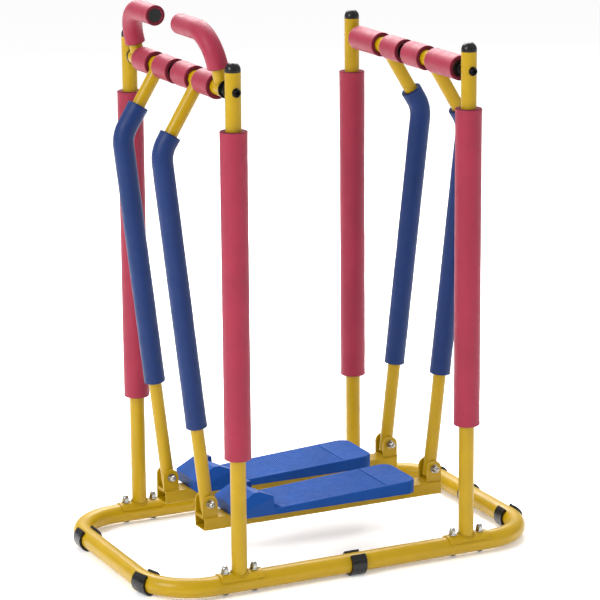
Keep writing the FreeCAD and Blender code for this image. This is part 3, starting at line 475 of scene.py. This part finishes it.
def grain_tree():
    """Diamond grain of a tread: small blunt pyramids on a slanted lattice, kept where the board
    is bare and lifted onto its slope, with a thin ridge between them and the smooth heel."""
    tree, given, put = new_tree(
        "Tread grain", "Grain", Material=["Material"],
        Float=["Pitch", "Diamond width", "Diamond height", "Ridge width", "Front", "Rear", "Margin",
               "Middle"])
    front, rear, pitch, tall = given["Front"], given["Rear"], given["Pitch"], given["Diamond height"]

    # The lattice, turned by 45 degrees about the middle of the grain
    reach = put(MATH, (rear, front), operation="SUBTRACT")
    spread = put(MATH, (reach, LATTICE_SPARE), operation="MULTIPLY")
    steps = put(MATH, (put(MATH, (spread, pitch), operation="DIVIDE"),), operation="FLOOR")
    count = put(MATH, (steps, 1.0), operation="ADD")
    side = put(MATH, (steps, pitch), operation="MULTIPLY")
    lattice = put("GeometryNodeMeshGrid", {"Size X": side, "Size Y": side, "Vertices X": count,
                                           "Vertices Y": count})
    centre = put(MATH, (put(MATH, (front, rear), operation="ADD"), 0.5), operation="MULTIPLY")
    slanted = put("GeometryNodeTransform", {"Geometry": lattice, "Translation": put(XYZ, {"X": centre}),
                                            "Rotation": (0.0, 0.0, math.pi / 4)})

    # Points off the board, in the toe block or on a gusset are taken away
    xyz = add(tree, "ShaderNodeSeparateXYZ", (put("GeometryNodeInputPosition"),)).outputs
    x, y = xyz["X"], put(MATH, (xyz["Y"],), operation="ABSOLUTE")
    half_width = put(RANGE, {"Value": x, "From Min": TREAD_TOE_X, "From Max": TREAD_HEEL_X,
                             "To Min": TREAD_TOE_HALF_WIDTH, "To Max": TREAD_HEEL_HALF_WIDTH})
    edge = put(MATH, (half_width, given["Margin"]), operation="SUBTRACT")
    to_pocket = put(VECTOR, (put(XYZ, {"X": x, "Y": y}), (POCKET_X, 0.0, 0.0)), operation="DISTANCE")
    in_pocket = POCKET_RADIUS - GRAIN_KEEP_OFF
    in_block = put(MATH, (
        put(MATH, (x, TREAD_FOOT_X + GRAIN_KEEP_OFF), operation="LESS_THAN"),
        put(MATH, (to_pocket.outputs["Value"], in_pocket), operation="GREATER_THAN")), operation="MULTIPLY")
    at_gusset = put(MATH, (put(MATH, (x, TREAD_FOOT_X + GUSSET_REACH), operation="LESS_THAN"),
                           put(MATH, (y, GUSSET_INSIDE), operation="GREATER_THAN")), operation="MULTIPLY")
    before = put(MATH, (x, front), operation="LESS_THAN")
    behind = put(MATH, (x, rear), operation="GREATER_THAN")
    gone = put(MATH, (y, edge), operation="GREATER_THAN")
    for other in (before, behind, in_block, at_gusset):
        gone = put(MATH, (gone, other), operation="MAXIMUM")
    kept = put("GeometryNodeDeleteGeometry", {"Geometry": slanted, "Selection": gone})

    # The rest are lifted onto the sloping board and carry a blunt pyramid each
    height = put(RANGE, {"Value": x, "From Min": TREAD_FOOT_X, "From Max": TREAD_HEEL_X,
                         "To Min": BEAM_TOP + TREAD_FOOT_HEIGHT, "To Max": BEAM_TOP + TREAD_HEEL_HEIGHT},
                 clamp=False)
    beside = put(MATH, (xyz["Y"], given["Middle"]), operation="ADD")
    lifted = put("GeometryNodeSetPosition", {"Geometry": kept,
                                             "Position": put(XYZ, {"X": x, "Y": beside, "Z": height})})
    diamond = put("GeometryNodeMeshCone", {
        "Vertices": 4, "Radius Top": put(MATH, (given["Diamond width"], DIAMOND_TOP), operation="MULTIPLY"),
        "Radius Bottom": put(MATH, (given["Diamond width"], 0.5), operation="MULTIPLY"),
        "Depth": put(MATH, (tall, 2.0), operation="MULTIPLY")})
    down = put(XYZ, {"Z": put(MATH, (tall, -1.0), operation="MULTIPLY")})
    sunk = put("GeometryNodeTransform", {"Geometry": diamond, "Translation": down})
    points = put("GeometryNodeMeshToPoints", {"Mesh": lifted})
    studs = put("GeometryNodeInstanceOnPoints", {"Points": points, "Instance": sunk})

    # The ridge before the heel, tilted like the board
    to_rear = put(MATH, (rear, TREAD_HEEL_X), operation="SUBTRACT")
    ridge_reach = put(MATH, (TREAD_HEEL_HALF_WIDTH, given["Margin"]), operation="SUBTRACT")
    ridge = put("GeometryNodeMeshCube", {"Size": put(XYZ, {
        "X": given["Ridge width"], "Y": put(MATH, (ridge_reach, 2.0), operation="MULTIPLY"),
        "Z": put(MATH, (tall, RIDGE_DEPTH), operation="MULTIPLY")})})
    below_heel = put(MATH, (to_rear, TREAD_SLOPE), operation="MULTIPLY")
    ridge_height = put(MATH, (below_heel, BEAM_TOP + TREAD_HEEL_HEIGHT), operation="ADD")
    placed = put("GeometryNodeTransform", {
        "Geometry": ridge, "Rotation": (0.0, -math.atan(TREAD_SLOPE), 0.0),
        "Translation": put(XYZ, {"X": put(MATH, (rear, given["Ridge width"]), operation="ADD"),
                                 "Y": given["Middle"], "Z": ridge_height})})
    both = put("GeometryNodeJoinGeometry", {"Geometry": studs})
    connect(tree, both, {"Geometry": placed})
    end_tree(tree, both, given["Material"])
    return tree


TREES = {"Foam sleeve": sleeve_tree, "Weld bead": bead_tree, "Tread grain": grain_tree}


def grow(name, tree_name, lines, values):
    """Runs a tree, on point lines where it needs them, and keeps the result as a plain mesh piece."""
    tree = bpy.data.node_groups.get(tree_name) or TREES[tree_name]()
    points, edges = [], []
    for line in lines:
        first = len(points)
        points += line
        edges += [(first + i, first + i + 1) for i in range(len(line) - 1)]
    seed = bpy.data.meshes.new(name + "_line")
    seed.from_pydata(points, edges, [])
    piece = bpy.data.objects.new(name, seed)
    bpy.context.scene.collection.objects.link(piece)
    modifier = piece.modifiers.new("Shape", "NODES")
    modifier.node_group = tree
    for item in tree.interface.items_tree:
        if item.in_out == "INPUT" and item.name in values:
            modifier[item.identifier] = values[item.name]
    evaluated = piece.evaluated_get(bpy.context.evaluated_depsgraph_get())
    mesh = bpy.data.meshes.new_from_object(evaluated)
    piece.modifiers.remove(modifier)
    piece.data = mesh
    bpy.data.meshes.remove(seed)
    mesh.name = name
    if not mesh.polygons:
        raise RuntimeError(name + " came out empty")
    return piece


def inside_out(mesh):
    """True where a closed mesh has its faces pointing inwards."""
    volume = 0.0
    mesh.calc_loop_triangles()
    for triangle in mesh.loop_triangles:
        a, b, c = (mesh.vertices[i].co for i in triangle.vertices)
        volume += a.dot(b.cross(c))
    return volume < 0


# Foam sleeves, rolls and grips

def rounded_line(first, corner, last, radius, steps):
    """Points along two straight legs and the arc between them."""
    to_first = (first - corner).normalized()
    to_last = (last - corner).normalized()
    half = to_first.angle(to_last) / 2
    reach = radius / math.tan(half)
    start, end = corner + to_first * reach, corner + to_last * reach
    centre = corner + (to_first + to_last).normalized() * (radius / math.sin(half))
    spoke, axis = start - centre, to_first.cross(to_last).normalized()
    sweep = math.pi - 2 * half
    sweep = min(sweep, -sweep, key=lambda way: (centre + Matrix.Rotation(way, 3, axis) @ spoke - end).length)
    arc = [centre + Matrix.Rotation(sweep * i / steps, 3, axis) @ spoke for i in range(steps + 1)]
    return [first] + arc + [last]


def sleeve(name, line, outer_radius, tube_radius, body, node, finish_name, seed):
    """Grows one foam sleeve on a line and lets it stand for its CAD node."""
    foam = bpy.context.scene.air_walker_foam
    piece = grow(name, "Foam sleeve", [line], {
        "Outer radius": outer_radius, "Bore radius": tube_radius + FOAM_GAP, "Edge radius": foam.edge_radius,
        "Flare": foam.flare, "Swell": foam.swell, "Swell size": foam.swell_size,
        "Ring spacing": foam.ring_spacing, "Segments": foam.segments, "Seed": float(seed),
        "Material": finish(finish_name)})
    if inside_out(piece.data):
        piece.data.flip_normals()
    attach(piece, body)
    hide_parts(node)


def straight_sleeve(name, node, axis, diameter, tube_radius, body, seed):
    """A straight sleeve as long as its CAD node, along Y (axis 1) or Z (axis 2)."""
    start, end = middle(node), middle(node)
    start[axis], end[axis] = lowest(node)[axis], highest(node)[axis]
    sleeve(name, [start, end], diameter / 2, tube_radius, body, node, "red_foam", seed)


def swing_of(end, side):
    return end + "_" + side + "_swing"


def arm_line(end, side):
    """Top, bend corner and pedal pivot of an arm's centre line."""
    x, y = ENDS[end] * POST_X, SIDES[side] * ARM_Y
    top = Vector((x, y, AXLE_Z))
    corner = Vector((x + ENDS[end] * ARM_BEND_OUT, y, AXLE_Z - ARM_BEND_DROP))
    return top, corner, Vector((x, y, PIVOT_Z))


def handle_line(side):
    """Foot, bend corner and tip of a handle's centre line, and the way it leans."""
    up = Vector((-math.sin(HANDLE_LEAN), 0, math.cos(HANDLE_LEAN)))
    foot = Vector((-POST_X, SIDES[side] * HANDLE_Y, AXLE_Z))
    corner = foot + up * HANDLE_RISE
    tip = Vector((corner.x, SIDES[side] * GRIP_TIP_Y, corner.z))
    return foot, corner, tip, up


# Weld beads

def saddle_seam(end, side, rise):
    """Ring where a post meets its saddle."""
    radius = POST_RADIUS + rise
    x, y = ENDS[end] * POST_X, SIDES[side] * POST_Y
    ring = []
    for step in range(SEAM_STEPS + 1):
        angle = 2 * math.pi * step / SEAM_STEPS
        dy = radius * math.sin(angle)
        z = RAIL_Z + math.sqrt(SADDLE_RADIUS ** 2 - dy ** 2) + rise
        ring.append(Vector((x + radius * math.cos(angle), y + dy, z)))
    return ring


def hub_seam(origin, direction, rise):
    """Ring where a tube of the arm's size meets its hub."""
    along = direction.normalized()
    across = Vector((0, 1, 0))
    third = along.cross(across)
    ring = []
    for step in range(SEAM_STEPS + 1):
        angle = 2 * math.pi * step / SEAM_STEPS
        side = (ARM_RADIUS + rise) * math.sin(angle)
        reach = math.sqrt((HUB_RADIUS + rise) ** 2 - side ** 2)
        ring.append(origin + across * ((ARM_RADIUS + rise) * math.cos(angle)) + third * side + along * reach)
    return ring


def clevis_seams(x, y):
    """The two straight seams under the ears of a clevis, on top of the pedal beam."""
    seams = []
    for side in SIDES.values():
        level = Vector((x, y + side * EAR_OUTER, BEAM_TOP))
        seams.append([level - Vector((EAR_RADIUS, 0, 0)), level + Vector((EAR_RADIUS, 0, 0))])
    for way in ENDS.values():
        level = Vector((x + way * EAR_RADIUS, y, BEAM_TOP))
        seams.append([level - Vector((0, EAR_OUTER, 0)), level + Vector((0, EAR_OUTER, 0))])
    return seams


def bead(name, seams, body, seed, share=1.0):
    """Lays a weld bead of a share of the usual thickness along some seams of one body."""
    weld = bpy.context.scene.air_walker_weld
    piece = grow(name, "Weld bead", seams, {
        "Drop radius": weld.drop_radius * share, "Drop step": weld.drop_step, "Unevenness": weld.unevenness,
        "Seed": seed, "Material": finish("yellow_enamel")})
    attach(piece, body)


# Stage

def soft_light(context, name, power, size, place):
    """Square area light aimed at the middle of the object."""
    light = bpy.data.lights.new(name, "AREA")
    light.shape = "SQUARE"
    light.size = size
    light.energy = power
    lamp = bpy.data.objects.new(name, light)
    lamp.location = place
    lamp.rotation_euler = (LIGHT_AIM - place).to_track_quat("-Z", "Y").to_euler()
    context.scene.collection.objects.link(lamp)


def set_camera(context):
    """Camera at the photograph's place and angle."""
    ahead = Vector((math.sin(CAMERA_YAW) * math.cos(CAMERA_PITCH),
                    math.cos(CAMERA_YAW) * math.cos(CAMERA_PITCH), -math.sin(CAMERA_PITCH)))
    level = Vector((math.cos(CAMERA_YAW), -math.sin(CAMERA_YAW), 0.0))
    above = level.cross(ahead)
    right = level * math.cos(CAMERA_ROLL) + above * math.sin(CAMERA_ROLL)
    up = above * math.cos(CAMERA_ROLL) - level * math.sin(CAMERA_ROLL)
    lens = bpy.data.cameras.new("photo_camera")
    lens.sensor_fit = "HORIZONTAL"
    lens.sensor_width = SENSOR_MM
    lens.lens = CAMERA_FOCUS_SHARE * SENSOR_MM
    lens.clip_end = CAMERA_REACH
    camera = bpy.data.objects.new("photo_camera", lens)
    turn = Matrix((right, up, -ahead)).transposed()
    camera.matrix_world = Matrix.Translation(CAMERA_PLACE) @ turn.to_4x4()
    context.scene.collection.objects.link(camera)
    context.scene.camera = camera


# Settings

class AirWalkerFinish(bpy.types.PropertyGroup):
    enamel: bpy.props.FloatVectorProperty(
        name="Enamel", description="Stoved enamel on all the steel tube", subtype="COLOR", size=3,
        min=0, max=1, default=linear("#ac8a00"))
    red_foam: bpy.props.FloatVectorProperty(
        name="Red Foam", description="Foam on the posts, hubs and handles", subtype="COLOR", size=3,
        min=0, max=1, default=linear("#92253c"))
    blue_foam: bpy.props.FloatVectorProperty(
        name="Blue Foam", description="Foam on the four arms", subtype="COLOR", size=3,
        min=0, max=1, default=linear("#07295f"))
    tread: bpy.props.FloatVectorProperty(
        name="Tread", description="Plastic of the footboards", subtype="COLOR", size=3,
        min=0, max=1, default=linear("#0f448e"))
    black: bpy.props.FloatVectorProperty(
        name="Black", description="Caps, bushes, plugs, clip feet and screws", subtype="COLOR", size=3,
        min=0, max=1, default=linear("#0b0b0c"))
    nickel: bpy.props.FloatVectorProperty(
        name="Nickel", description="Plating of the cap nuts", subtype="COLOR", size=3,
        min=0, max=1, default=linear("#a6a49f"))
    axle: bpy.props.FloatVectorProperty(
        name="Axle Steel", description="Bare steel of the axles", subtype="COLOR", size=3,
        min=0, max=1, default=linear("#a8a8aa"))
    backdrop: bpy.props.FloatVectorProperty(
        name="Backdrop", description="Paper under the object", subtype="COLOR", size=3,
        min=0, max=1, default=linear("#fcfcfc"))


class AirWalkerFoam(bpy.types.PropertyGroup):
    post_diameter: bpy.props.FloatProperty(
        name="Post Sleeve Diameter", description="Outside of the sleeves on the posts", subtype="DISTANCE",
        unit="LENGTH", min=0.032, max=0.08, default=0.051)
    roll_diameter: bpy.props.FloatProperty(
        name="Roll Diameter", description="Outside of the rolls on the hubs", subtype="DISTANCE",
        unit="LENGTH", min=0.034, max=0.08, default=0.048)
    arm_diameter: bpy.props.FloatProperty(
        name="Arm Sleeve Diameter", description="Outside of the sleeves on the arms", subtype="DISTANCE",
        unit="LENGTH", min=0.028, max=0.07, default=0.041)
    grip_diameter: bpy.props.FloatProperty(
        name="Grip Diameter", description="Outside of the hand grips", subtype="DISTANCE",
        unit="LENGTH", min=0.028, max=0.07, default=0.039)
    edge_radius: bpy.props.FloatProperty(
        name="Edge Radius", description="Rounding of the cut ends", subtype="DISTANCE",
        unit="LENGTH", min=0.0005, max=0.005, default=0.0024)
    flare: bpy.props.FloatProperty(
        name="Flare", description="How far the cut ends spread", subtype="DISTANCE",
        unit="LENGTH", min=0, max=0.003, default=0.0006)
    swell: bpy.props.FloatProperty(
        name="Swell", description="Height of the soft lumps along a sleeve", subtype="DISTANCE",
        unit="LENGTH", min=0, max=0.003, default=0.0011)
    swell_size: bpy.props.FloatProperty(
        name="Swell Size", description="Distance between the soft lumps", subtype="DISTANCE",
        unit="LENGTH", min=0.01, max=0.3, default=0.075)
    ring_spacing: bpy.props.FloatProperty(
        name="Ring Spacing", description="Distance between the rings of a sleeve's mesh", subtype="DISTANCE",
        unit="LENGTH", min=0.001, max=0.02, default=0.004)
    segments: bpy.props.IntProperty(
        name="Segments", description="Sides of a sleeve's mesh", min=12, max=128, default=56)


class AirWalkerTread(bpy.types.PropertyGroup):
    pitch: bpy.props.FloatProperty(
        name="Grain Pitch", description="Distance between the diamonds of the grain", subtype="DISTANCE",
        unit="LENGTH", min=0.001, max=0.02, default=0.0044)
    diamond_width: bpy.props.FloatProperty(
        name="Diamond Width", description="Width of a diamond across its corners", subtype="DISTANCE",
        unit="LENGTH", min=0.0005, max=0.02, default=0.0040)
    diamond_height: bpy.props.FloatProperty(
        name="Diamond Height", description="Height of a diamond", subtype="DISTANCE",
        unit="LENGTH", min=0.0001, max=0.003, default=0.00035)
    ridge_width: bpy.props.FloatProperty(
        name="Ridge Width", description="Width of the thin ridge before the smooth heel", subtype="DISTANCE",
        unit="LENGTH", min=0.0005, max=0.01, default=0.0018)
    margin: bpy.props.FloatProperty(
        name="Margin", description="Smooth edge beside the grain", subtype="DISTANCE",
        unit="LENGTH", min=0, max=0.02, default=0.0055)
    heel_line: bpy.props.FloatProperty(
        name="Heel Line", description="Where the grain ends and the smooth heel starts, along X",
        subtype="DISTANCE", unit="LENGTH", min=0, max=0.17, default=0.114)


class AirWalkerWeld(bpy.types.PropertyGroup):
    drop_radius: bpy.props.FloatProperty(
        name="Bead Radius", description="Radius of a weld bead", subtype="DISTANCE",
        unit="LENGTH", min=0.0005, max=0.006, default=0.0021)
    drop_step: bpy.props.FloatProperty(
        name="Ripple Step", description="Distance between the ripples of a bead", subtype="DISTANCE",
        unit="LENGTH", min=0.0005, max=0.006, default=0.0018)
    unevenness: bpy.props.FloatProperty(
        name="Unevenness", description="How much the ripples differ in size", subtype="FACTOR",
        min=0, max=0.8, default=0.25)


class AirWalkerStage(bpy.types.PropertyGroup):
    key_power: bpy.props.FloatProperty(
        name="Key Light", description="Power of the light at the left, beyond the handles", subtype="POWER",
        unit="POWER", min=0, max=5000, default=150)
    fill_power: bpy.props.FloatProperty(
        name="Fill Light", description="Power of the weak light on the right", subtype="POWER",
        unit="POWER", min=0, max=5000, default=12)
    top_power: bpy.props.FloatProperty(
        name="Top Light", description="Power of the wide light overhead", subtype="POWER",
        unit="POWER", min=0, max=9000, default=2000)
    back_power: bpy.props.FloatProperty(
        name="Back Light", description="Power of the light behind, which gives the tops their sheen",
        subtype="POWER", unit="POWER", min=0, max=5000, default=260)
    sky: bpy.props.FloatProperty(
        name="Room Light", description="Strength of the even white light from all round", subtype="FACTOR",
        min=0, max=3, default=0.40)
    floor_size: bpy.props.FloatProperty(
        name="Floor Size", description="Width of the backdrop paper", subtype="DISTANCE",
        unit="LENGTH", min=5, max=200, default=90)


# Operators

class AIRWALKER_OT_frame(bpy.types.Operator):
    """Give the steel tube its enamel and the axles their bare steel"""
    bl_idname = "airwalker.frame"
    bl_label = "Enamel the Frame"

    def execute(self, context):
        tubes = ["base_front_half", "base_rear_half", "left_pedal_beam", "right_pedal_beam"]
        for end, side in PLACES:
            tubes += [end + "_" + side + "_post", end + "_" + side + "_arm"]
        coat(tubes, "yellow_enamel")
        coat(["front_axle", "rear_axle", "base_joint_sleeves"], "axle_steel")
        return {"FINISHED"}


class AIRWALKER_OT_fittings(bpy.types.Operator):
    """Give the nuts, screws, caps, bushes, plugs and clip feet their finishes"""
    bl_idname = "airwalker.fittings"
    bl_label = "Finish the Fittings"

    def execute(self, context):
        plastic = ["base_clip_feet", "front_axle_spacers", "rear_axle_spacers",
                   "left_handle_plug", "right_handle_plug"]
        for end, side in PLACES:
            plastic += [end + "_" + side + part for part in ("_post_cap", "_hub_bushes", "_pivot_bush")]
        coat(plastic, "black_plastic")
        coat(["axle_screws", "saddle_bolts", "left_tread_screws", "right_tread_screws"], "black_screw")
        coat(["saddle_cap_nuts", "left_pivot_bolts", "right_pivot_bolts"], "nickel_nut")
        return {"FINISHED"}


class AIRWALKER_OT_post_sleeves(bpy.types.Operator):
    """Make the red foam sleeves on the four posts"""
    bl_idname = "airwalker.post_sleeves"
    bl_label = "Make the Post Sleeves"

    def execute(self, context):
        for seed, (end, side) in enumerate(PLACES):
            place = end + "_" + side
            straight_sleeve(place + "_post_sleeve", place + "_post_foam", 2,
                            context.scene.air_walker_foam.post_diameter, POST_RADIUS, "stand", seed)
        return {"FINISHED"}


class AIRWALKER_OT_rolls(bpy.types.Operator):
    """Make the red foam rolls on the hubs"""
    bl_idname = "airwalker.rolls"
    bl_label = "Make the Hub Rolls"

    def execute(self, context):
        for seed, (end, side) in enumerate(PLACES):
            for number, which in enumerate(("inner", "outer")):
                name = end + "_" + side + "_" + which
                straight_sleeve(name + "_foam_roll", name + "_roll", 1,
                                context.scene.air_walker_foam.roll_diameter, HUB_RADIUS, swing_of(end, side),
                                ROLL_SEED + 2 * seed + number)
        return {"FINISHED"}


class AIRWALKER_OT_arm_sleeves(bpy.types.Operator):
    """Make the blue foam sleeves that follow the arms round their bends"""
    bl_idname = "airwalker.arm_sleeves"
    bl_label = "Make the Arm Sleeves"

    def execute(self, context):
        for seed, (end, side) in enumerate(PLACES):
            top, corner, pivot = arm_line(end, side)
            above, below = ARM_SLEEVE_REACH[end, side]
            first = corner + (top - corner).normalized() * above
            last = corner + (pivot - corner).normalized() * below
            place = end + "_" + side
            sleeve(place + "_arm_sleeve", rounded_line(first, corner, last, ARM_BEND_RADIUS, ARM_BEND_STEPS),
                   context.scene.air_walker_foam.arm_diameter / 2, ARM_RADIUS, swing_of(end, side),
                   place + "_arm_foam", "blue_foam", ARM_SEED + seed)
        return {"FINISHED"}


class AIRWALKER_OT_grips(bpy.types.Operator):
    """Make the red foam grips on the two handles"""
    bl_idname = "airwalker.grips"
    bl_label = "Make the Grips"

    def execute(self, context):
        for seed, side in enumerate(SIDES):
            foot, corner, tip, up = handle_line(side)
            line = rounded_line(foot + up * GRIP_START[side], corner, tip, HANDLE_BEND_RADIUS,
                                HANDLE_BEND_STEPS)
            sleeve(side + "_grip", line, context.scene.air_walker_foam.grip_diameter / 2, ARM_RADIUS,
                   swing_of("front", side), side + "_handle_foam", "red_foam", GRIP_SEED + seed)
        return {"FINISHED"}


class AIRWALKER_OT_treads(bpy.types.Operator):
    """Finish the footboards and raise the diamond grain on them"""
    bl_idname = "airwalker.treads"
    bl_label = "Make the Tread Grain"

    def execute(self, context):
        tread = context.scene.air_walker_tread
        coat(["left_tread", "right_tread"], "blue_tread")
        for side in SIDES:
            piece = grow(side + "_tread_grain", "Tread grain", [], {
                "Pitch": tread.pitch, "Diamond width": tread.diamond_width,
                "Diamond height": tread.diamond_height, "Ridge width": tread.ridge_width,
                "Front": POCKET_X - POCKET_RADIUS, "Rear": tread.heel_line, "Margin": tread.margin,
                "Middle": SIDES[side] * ARM_Y, "Material": finish("blue_grain")})
            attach(piece, side + "_pedal")
        return {"FINISHED"}


class AIRWALKER_OT_welds(bpy.types.Operator):
    """Lay the weld beads on the posts, hubs and pedal beams"""
    bl_idname = "airwalker.welds"
    bl_label = "Lay the Weld Beads"

    def execute(self, context):
        radius = context.scene.air_walker_weld.drop_radius
        saddles = [saddle_seam(end, side, radius * SADDLE_BEAD_RISE) for end, side in PLACES]
        bead("saddle_welds", saddles, "stand", SADDLE_SEED)
        for seed, (end, side) in enumerate(PLACES):
            top, corner, pivot = arm_line(end, side)
            rings = [hub_seam(top, corner - top, radius * HUB_BEAD_RISE)]
            if end == "front":
                foot, handle_corner, tip, up = handle_line(side)
                rings.append(hub_seam(foot, up, radius * HUB_BEAD_RISE))
            bead(end + "_" + side + "_hub_welds", rings, swing_of(end, side), HUB_SEED + seed)
        for seed, side in enumerate(SIDES):
            seams = []
            for end in ENDS.values():
                seams += clevis_seams(end * POST_X, SIDES[side] * ARM_Y)
            bead(side + "_clevis_welds", seams, side + "_pedal", CLEVIS_SEED + seed, CLEVIS_BEAD_SHARE)
        return {"FINISHED"}


class AIRWALKER_OT_stage(bpy.types.Operator):
    """Set the camera, the floor and the soft studio lights"""
    bl_idname = "airwalker.stage"
    bl_label = "Set the Stage"

    def execute(self, context):
        stage = context.scene.air_walker_stage
        set_camera(context)
        half = stage.floor_size / 2
        mesh = bpy.data.meshes.new("floor")
        mesh.from_pydata([(-half, -half, 0), (half, -half, 0), (half, half, 0), (-half, half, 0)], [],
                         [(0, 1, 2, 3)])
        mesh.materials.append(finish("backdrop"))
        floor = bpy.data.objects.new("floor", mesh)
        context.scene.collection.objects.link(floor)
        for name, (size, place) in LIGHTS.items():
            soft_light(context, name + "_light", getattr(stage, name + "_power"), size, Vector(place))
        world = bpy.data.worlds.new("studio_room")
        world.use_nodes = True
        context.scene.world = world
        connect(world.node_tree, world.node_tree.nodes["Background"],
                {"Color": (1.0, 1.0, 1.0, 1.0), "Strength": stage.sky})
        context.scene.view_settings.view_transform = "Standard"
        return {"FINISHED"}


class AIRWALKER_PT_panel(bpy.types.Panel):
    """Air walker tools in the 3D view's sidebar"""
    bl_idname = "AIRWALKER_PT_panel"
    bl_label = "Air Walker"
    bl_space_type = "VIEW_3D"
    bl_region_type = "UI"
    bl_category = "Air Walker"

    def draw(self, context):
        layout = self.layout
        for operator in OPERATORS:
            layout.operator(operator.bl_idname)
        for label, _ in SETTINGS:
            box = layout.box()
            group = getattr(context.scene, label)
            for key in group.__annotations__:
                box.prop(group, key)


OPERATORS = (AIRWALKER_OT_frame, AIRWALKER_OT_fittings, AIRWALKER_OT_post_sleeves, AIRWALKER_OT_rolls,
             AIRWALKER_OT_arm_sleeves, AIRWALKER_OT_grips, AIRWALKER_OT_treads, AIRWALKER_OT_welds,
             AIRWALKER_OT_stage)
SETTINGS = (("air_walker_finish", AirWalkerFinish), ("air_walker_foam", AirWalkerFoam),
            ("air_walker_tread", AirWalkerTread), ("air_walker_weld", AirWalkerWeld),
            ("air_walker_stage", AirWalkerStage))


def register():
    for label, group in SETTINGS:
        bpy.utils.register_class(group)
        setattr(bpy.types.Scene, label, bpy.props.PointerProperty(type=group))
    for operator in OPERATORS:
        bpy.utils.register_class(operator)
    bpy.utils.register_class(AIRWALKER_PT_panel)


def unregister():
    bpy.utils.unregister_class(AIRWALKER_PT_panel)
    for operator in reversed(OPERATORS):
        bpy.utils.unregister_class(operator)
    for label, group in reversed(SETTINGS):
        delattr(bpy.types.Scene, label)
        bpy.utils.unregister_class(group)


def main():
    register()
    bpy.ops.airwalker.frame()
    bpy.ops.airwalker.fittings()
    bpy.ops.airwalker.post_sleeves()
    bpy.ops.airwalker.rolls()
    bpy.ops.airwalker.arm_sleeves()
    bpy.ops.airwalker.grips()
    bpy.ops.airwalker.treads()
    bpy.ops.airwalker.welds()
    bpy.ops.airwalker.stage()


if __name__ == "__main__":
    main()
